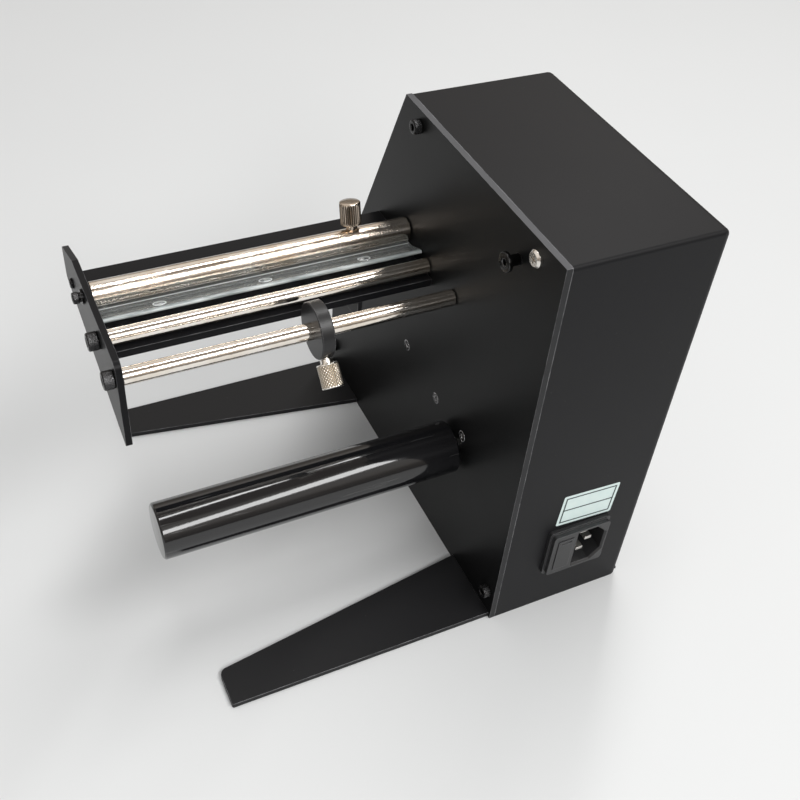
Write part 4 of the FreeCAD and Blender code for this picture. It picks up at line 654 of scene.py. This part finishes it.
def thumb_screw_shape(origin, direction, thread, diamond):
    """A tall knurled head with rounded rims on a necked thread.

    The straight knurl is a triangle wave round the head. The diamond knurl is the lower of two such
    waves that wind round the head in opposite directions.
    """
    head = knurl_radius
    low, high = 2.0, 13.5
    side = np.linspace(low + 0.55, high - 0.55, 64 if diamond else 12)
    rows = np.vstack([
        [(-thread, 0), (-thread, 1.7), (-thread + 0.3, 2.0), (-0.2, 2.0), (0, 2.4), (0.1, 3.0)],
        [(low - 0.3, 3.0)],
        [(low, 3.6), (low, head - 0.55), (low + 0.2, head - 0.2)],
        np.column_stack([side, np.full_like(side, head)]),
        [(high - 0.2, head - 0.2), (high, head - 0.55), (high, 2.0), (high - 0.1, 0)],
    ])

    def cross(angle, along, radius):
        knurled = np.abs(radius - head) < 1e-6
        turn = angle * teeth / (2 * math.pi)
        if diamond:
            sparse = turn * diamond_share
            height = np.minimum(triangle_wave(sparse + along / lead), triangle_wave(sparse - along / lead))
        else:
            height = triangle_wave(turn)
        fade = np.clip(np.minimum(along - low - 0.5, high - 0.5 - along) / 0.4, 0, 1)
        return np.where(knurled, radius - knurl_depth * (1 - height) * fade, radius)

    return turned(rows, origin, direction, teeth * 6, cross)


def thumb_screw(name, node, body, finish, origin, direction, thread, diamond):
    """A knurled thumb screw whose mesh keeps the depth of its knurl for its finish."""
    shape = thumb_screw_shape(origin, direction, thread, diamond)
    made = piece(name, [shape], finish, body, node)
    depth = made.data.attributes.new("knurl", "FLOAT", "POINT")
    depth.data.foreach_set("value", knurl_valleys(shape[0], origin, direction).astype(np.float32))


bar_thumb_spot = place(30, *bar)
ring_thumb_spot = place(69, *rear_shaft)
bar_lean = math.radians(15)
bar_thumb_direction = Vector((0, -math.sin(bar_lean), math.cos(bar_lean)))
bar_thumb_seat = bar_thumb_spot + bar_thumb_direction * 0.0063
ring_lean = math.radians(135)
ring_thumb_direction = Vector((0, math.sin(ring_lean), math.cos(ring_lean)))
ring_thumb_seat = ring_thumb_spot + ring_thumb_direction * 0.0138
thumb_screw("bar_thumb_screw", "pressure_thumb_screw", "pressure_screw", "straight_knurl",
            bar_thumb_seat, bar_thumb_direction, 2.2, False)
thumb_screw("guide_thumb_screw", "ring_thumb_screw", "guide_screw", "diamond_knurl",
            ring_thumb_seat, ring_thumb_direction, 9.7, True)


# Shafts, tube, ring and roller

def bar_profile(start, end, radius, chamfer):
    """A plain round bar with chamfered ends."""
    return [(start, 0), (start, radius - chamfer), (start + chamfer, radius), (end - chamfer, radius),
            (end, radius - chamfer), (end, 0)]


def sleeve(start, end, outer_radius, bore, chamfer):
    """A closed tube: out along the outside, over the chamfered end and back through the bore."""
    return [(start, bore), (start, outer_radius - chamfer), (start + chamfer, outer_radius),
            (end - chamfer, outer_radius), (end, outer_radius - chamfer), (end, bore)]


def ring_surface(profile, origin, direction, columns):
    """A closed loop profile turned about an axis that it doesn't touch, so that it needs no poles.

    A point is origin + along * axis + radius * (cos(angle) * side + sin(angle) * across).
    """
    rows = np.asarray(profile, float)
    axis, side, across = about(direction)
    angle = np.linspace(0, 2 * math.pi, columns, endpoint=False)[None, :]
    along = rows[:, 0][:, None, None]
    radius = rows[:, 1][:, None]
    to_side = (radius * np.cos(angle))[..., None] * side
    to_across = (radius * np.sin(angle))[..., None] * across
    points = (along * axis + to_side + to_across).reshape(-1, 3) / 1000 + np.asarray(origin)
    index = np.arange(len(rows) * columns).reshape(len(rows), columns)
    ahead = np.roll(index, -1, axis=1)
    faces = np.stack([index, ahead, np.roll(ahead, -1, axis=0), np.roll(index, -1, axis=0)], axis=-1)
    return points, faces.reshape(-1, 4).tolist()


shaft_radius = 4.0
bore_radius = 4.05
end_gap = 0.4
round_rod = bar_profile(0, span, shaft_radius, 0.5)
tube_section = sleeve(end_gap, span - end_gap, 6.0, bore_radius, 0.3)
ring_section = sleeve(65.75, 72.25, 13.5, bore_radius, 0.4)
piece("front_shaft", [turned(round_rod, place(0, *front_shaft), outwards, 96)], "shaft", "frame",
      "front_guide_shaft")
piece("rear_shaft", [turned(round_rod, place(0, *rear_shaft), outwards, 96)], "shaft", "frame",
      "rear_guide_shaft")
piece("bar_rod", [turned(round_rod, place(0, *bar), outwards, 64)], "shaft", "frame", "pressure_rod")
piece("bar_tube", [ring_surface(tube_section, place(0, *bar), outwards, 128)], "tube", "pressure_bar",
      "pressure_tube")
piece("guide_ring", [ring_surface(ring_section, place(0, *rear_shaft), outwards, 128)], "anodised",
      "edge_guide", "edge_guide_ring")
roller_radius = 13.8
roller_chamfer = 0.8
roller_start, roller_end = 2.6, 156.0
roller_shoulder = roller_radius - roller_chamfer
roller_corners = [(roller_start, 0), (roller_start, roller_shoulder),
                  (roller_start + roller_chamfer, roller_radius), (roller_end - roller_chamfer, roller_radius),
                  (roller_end, roller_shoulder), (roller_end, 0)]
roller_rows = softened(roller_corners, 0.2)
piece("liner_roller", [turned(roller_rows, place(0, *roller), outwards, 160)], "mandrel", "roller",
      "rewind_roller")


# Holder stud

stud_socket = 3.0


def stud_shape(origin):
    """A disc with a rounded rim and a hexagonal socket, on a plain neck."""
    rim = softened([(5.0, 2.6), (5.0, 4.5), (7.0, 4.5), (7.0, 1.8)], 0.5)
    rows = np.vstack([[(0, 0), (0, 2.5), (4.9, 2.5)], rim,
                      [(6.8, stud_socket / 2), (4.5, stud_socket / 2), (4.2, 0)]])

    def cross(angle, along, radius):
        return np.where(np.abs(radius - stud_socket / 2) < 1e-6, hexagon_radius(angle, stud_socket), radius)

    return turned(rows, origin, outwards, 96, cross)


piece("roll_holder_stud", [stud_shape(place(0, *stud))], "stud", "frame", "holder_stud")


# Painted highlights on the clear strip, as pale opaque pieces: its rear lip, its ends, the rims of its holes
# and a line of glare

strip_drop = 5.7
strip_overlap = 6.9
strip_run = 9.4
strip_flat_top = bar[1] - strip_drop
strip_bend = bar[0] - strip_overlap
strip_back = strip_bend - strip_run
strip_rise = 4.0
strip_thickness = 1.8
strip_hole_pitch = 51.0
strip_lean = math.atan2(strip_rise, strip_bend - strip_back)
strip_under = strip_thickness / math.cos(strip_lean)


def prism(outline, start, end):
    """A closed outline of (forward, height) points, carried along X between two flat ends."""
    ends = [[place(x, forward, z) for forward, z in outline] for x in (start, end)]
    count = len(outline)
    sides = [[i, (i + 1) % count, (i + 1) % count + count, i + count] for i in range(count)]
    caps = [list(range(count))[::-1], list(range(count, 2 * count))]
    return np.array(ends[0] + ends[1]), sides + caps


def strip_lip():
    """The rounded rear edge, in line with the strip's slope: a half circle at the end of a short run."""
    run = 1.5
    nose_radius = strip_thickness / 2
    top = strip_flat_top + strip_rise
    centre = (strip_back - run, top - strip_under / 2 + run * math.tan(strip_lean))
    turn = np.linspace(math.pi / 2, 3 * math.pi / 2, 9) - strip_lean
    nose = [(centre[0] + nose_radius * math.cos(angle), centre[1] + nose_radius * math.sin(angle))
            for angle in turn]
    root = [(strip_back, top - strip_under), (strip_back, top)]
    return prism((nose + root)[::-1], end_gap, span - end_gap)


def strip_end(x):
    """A thin painted highlight on one cut end, as the strip's own section."""
    front = bar[0] + 2
    flat_under = strip_flat_top - strip_thickness
    back_top = strip_flat_top + strip_rise
    outline = [(front, strip_flat_top), (strip_bend, strip_flat_top), (strip_back, back_top),
               (strip_back, back_top - strip_under), (strip_bend, flat_under), (front, flat_under)]
    return prism(outline[::-1], x - 0.04, x + 0.04)


def strip_hole(x):
    """A painted highlight on the rim of one hole, square to the strip's slope."""
    centre = place(x, (strip_bend + strip_back) / 2, strip_flat_top + strip_rise / 2)
    upwards = (0, -math.sin(strip_lean), math.cos(strip_lean))
    return ring_surface(sleeve(-0.05, 0.08, 3.2, 2.76, 0.03), centre, upwards, 48)


def glare_line(forward):
    """A hair-thin bright line along the flat, right beside the tube."""
    top = strip_flat_top + 0.06
    outline = [(forward - 0.4, strip_flat_top), (forward - 0.4, top), (forward, top), (forward, strip_flat_top)]
    return prism(outline, 0.5, span - 0.5)


# Pale pieces that paint highlights on the strip's ends, hole rims and flat.
strip_glints = [strip_end(0.36), strip_end(span - 0.36)]
for step in (-1, 0, 1):
    strip_glints.append(strip_hole(span / 2 + step * strip_hole_pitch))
strip_glints.append(glare_line(127.0))
piece("strip_glints", strip_glints, "rim_glint", "pressure_bar")
piece("strip_lip", [strip_lip()], "cut_edge", "pressure_bar")


# Serial sticker: bare, with a plain printed frame

def sheet_patch(centre, across, upright, width, tall, corner, lift, steps=8):
    """A flat rounded rectangle: its edge follows four quarter circles, and triangles join it to its centre."""
    angle = np.linspace(0, math.pi / 2, steps)
    quarter = np.column_stack([np.cos(angle), np.sin(angle)]) * corner
    edge = []
    for turn, (sx, sy) in enumerate(((1, 1), (-1, 1), (-1, -1), (1, -1))):
        spin = np.array([[math.cos(turn * math.pi / 2), -math.sin(turn * math.pi / 2)],
                         [math.sin(turn * math.pi / 2), math.cos(turn * math.pi / 2)]])
        edge.append(quarter @ spin.T + np.array((sx * (width / 2 - corner), sy * (tall / 2 - corner))))
    edge = np.vstack(edge)
    away = np.cross(across, upright)
    flat = np.vstack([edge, (0, 0)]) / 1000
    points = np.asarray(centre) + flat[:, :1] * across + flat[:, 1:] * upright + away * lift / 1000
    count = len(edge)
    faces = [[count, index, (index + 1) % count] for index in range(count)]
    return points, faces


def thin_slab(made, thickness):
    """Give a flat piece a thickness, in millimetres, towards its back."""
    modifier = made.modifiers.new("slab", "SOLIDIFY")
    modifier.thickness = thickness / 1000
    modifier.offset = -1.0
    made.data.shade_flat()


def ruled_bar(centre, along, across, length, width, lift):
    """A flat printed bar: four corners about its centre, in the plane of its two directions."""
    away = np.cross(along, across)
    corners = [(-length, -width), (length, -width), (length, width), (-length, width)]
    points = [np.asarray(centre) + (u * along + v * across) / 2000 + away * lift / 1000 for u, v in corners]
    return np.array(points), [[0, 1, 2, 3]]


sticker_turn = math.radians(-3.4)
rear_across = np.array((-1.0, 0.0, 0.0))
rear_up = np.array((0.0, 0.0, 1.0))
sticker_across = rear_across * math.cos(sticker_turn) + rear_up * math.sin(sticker_turn)
sticker_up = rear_up * math.cos(sticker_turn) - rear_across * math.sin(sticker_turn)
sticker_centre = np.asarray(place(-45.5, 0, 73.3))
sticker_width, sticker_tall = 33.0, 21.5
frame_width, frame_tall = 29.2, 17.4
line_width = 0.8
sticker_sheet = sheet_patch(sticker_centre, sticker_across, sticker_up, sticker_width, sticker_tall, 1.0, 0.1)
thin_slab(piece("rear_sticker", [sticker_sheet], "paper", "frame"), 0.08)


def frame_bar(offset_across, offset_up, along, across, length):
    """One printed line of the sticker's frame."""
    centre = sticker_centre + (offset_across * sticker_across + offset_up * sticker_up) / 1000
    return ruled_bar(centre, along, across, length, line_width, 0.13)


frame_lines = [frame_bar(0, level, sticker_across, sticker_up, frame_width + line_width)
               for level in (-frame_tall / 2, 0, frame_tall / 2)]
frame_lines += [frame_bar(side * frame_width / 2, 0, sticker_up, -sticker_across, frame_tall - line_width)
                for side in (-1, 1)]
thin_slab(piece("sticker_frame", frame_lines, "frame_ink", "frame"), 0.02)


# Dial ticks and numbers round the speed knob, and the rocker's two marks, on the sloped face

slope_top = (144.0, 230.0)
slope_run, slope_drop = 76.0, 172.0
slope_angle = math.atan2(slope_drop, slope_run)
slope_right = np.array((1.0, 0.0, 0.0))
slope_up = np.array((0.0, math.cos(slope_angle), math.sin(slope_angle)))
box_centre = -40.5
knob_along = 84.0
switch_along = 128.0


def on_slope(along, x):
    """A point of the sloped face, from its distance down the slope and across the box."""
    forward = slope_top[0] + along * math.cos(slope_angle)
    return np.asarray(place(x, forward, slope_top[1] - along * math.sin(slope_angle)))


def lettering(body, size, centre):
    """Plain characters lying on the sloped face, centred on a point, as a thin closed mesh."""
    curve = bpy.data.curves.new("characters", "FONT")
    curve.body = body
    curve.size = size / 1000
    curve.align_x = "CENTER"
    curve.align_y = "CENTER"
    curve.extrude = 0.00004
    holder = bpy.data.objects.new("characters", curve)
    mesh = bpy.data.meshes.new_from_object(holder)
    flat = np.empty(len(mesh.vertices) * 3, np.float32)
    mesh.vertices.foreach_get("co", flat)
    flat = flat.reshape(-1, 3).astype(float)
    away = np.cross(slope_right, slope_up)
    points = centre + flat[:, :1] * slope_right + flat[:, 1:2] * slope_up + (flat[:, 2:] + 0.00006) * away
    faces = [list(face.vertices) for face in mesh.polygons]
    bpy.data.objects.remove(holder)
    bpy.data.curves.remove(curve)
    bpy.data.meshes.remove(mesh)
    return points, faces


def dial_point(turn, radius):
    """A point on the dial, from its turn clockwise from the top and its distance from the knob's axis."""
    outward = math.sin(turn) * slope_right + math.cos(turn) * slope_up
    return on_slope(knob_along, box_centre) + outward * radius / 1000, outward


tick_radius = 12.8
number_radius = 16.6
dial_ticks = []
dial_numbers = []
for number in range(11):
    turn = math.radians(-150 + 30 * number)
    middle, outward = dial_point(turn, tick_radius)
    across = np.cross(outward, np.cross(slope_right, slope_up))
    dial_ticks.append(ruled_bar(middle, across, outward, 0.6, 2.2, 0.06))
    dial_numbers.append(lettering(str(number), 3.6, dial_point(turn, number_radius)[0]))
thin_slab(piece("dial_ticks", dial_ticks, "white_ink", "frame"), 0.03)
piece("dial_numbers", dial_numbers, "white_ink", "frame")
marks_x = box_centre - 13
piece("switch_marks", [lettering("I", 4.5, on_slope(switch_along - 6, marks_x)),
                       lettering("O", 4.5, on_slope(switch_along + 6, marks_x))], "white_ink", "frame")


# Floor, backdrop and lights

def floor_material():
    """A pale matt table top."""
    table = Finish("pale_table")
    cloud = table.noise(3.0, 3.0)
    table.set(Base_Color=table.mix(cloud, (0.74, 0.745, 0.74), (0.78, 0.782, 0.775)), Roughness=0.5)
    return table.material


def stage_floor():
    """A wide flat floor just under the feet."""
    reach = 6.0
    mesh = bpy.data.meshes.new("table_top")
    corners = [(-reach, -reach, 0), (reach, -reach, 0), (reach, reach, 0), (-reach, reach, 0)]
    mesh.from_pydata(corners, [], [(0, 1, 2, 3)])
    mesh.materials.append(floor_material())
    floor = bpy.data.objects.new("table_top", mesh)
    bpy.context.scene.collection.objects.link(floor)


def ceiling_lamp(name, spot, along, length, width, power):
    """A long flat lamp under the ceiling that faces the machine, with its length near a level direction."""
    lamp = bpy.data.lights.new(name, "AREA")
    lamp.shape = "RECTANGLE"
    lamp.size = length
    lamp.size_y = width
    lamp.energy = power
    back = (Vector(spot) - Vector((0, 0, 0.12))).normalized()
    across = back.cross(Vector(along)).normalized()
    holder = bpy.data.objects.new(name, lamp)
    axes = Matrix((across.cross(back), across, back)).transposed().to_4x4()
    holder.matrix_world = Matrix.Translation(spot) @ axes
    bpy.context.scene.collection.objects.link(holder)


stage_floor()
ceiling_lamp("broad_lamp", (-0.4, 1.28, 1.6), (-0.58, -0.82, 0), 2.2, 0.4, 30.0)
ceiling_lamp("narrow_lamp", (-0.35, -0.4, 1.6), (-0.68, -0.55, 0), 1.9, 0.14, 11.0)


def studio_world():
    """Even grey light, seen by mirrors, clear plastic and the camera as warm pale walls under a dim ceiling."""
    world = bpy.data.worlds.new("studio")
    world.use_nodes = True
    bpy.context.scene.world = world
    sky = Nodes(world.node_tree)
    direction = sky.node("ShaderNodeTexCoord").outputs["Generated"]
    rise = sky.node("ShaderNodeSeparateXYZ", sockets={"Vector": direction}).outputs["Z"]
    walls = sky.ramp(rise, [
        (0.0, (0.20, 0.18, 0.16)), (0.25, (0.33, 0.29, 0.25)), (0.42, (0.80, 0.74, 0.68)),
        (0.62, (0.88, 0.83, 0.78)), (0.86, (0.80, 0.76, 0.70)), (0.925, (0.28, 0.24, 0.21))])
    path = sky.node("ShaderNodeLightPath")
    glossy = Value(sky.tree, path.outputs["Is Glossy Ray"])
    camera = Value(sky.tree, path.outputs["Is Camera Ray"])
    clear = camera + Value(sky.tree, path.outputs["Is Transmission Ray"])
    seen = sky.mix(glossy, (0.36, 0.362, 0.366), walls)
    seen = sky.mix(clear.maths("ADD", 0.0, clamp=True), seen, (0.86, 0.86, 0.855))
    background = sky.tree.nodes["Background"]
    sky.feed(background.inputs["Color"], seen)
    background.inputs["Strength"].default_value = 1.0


studio_world()
bpy.context.scene.view_settings.view_transform = "Standard"
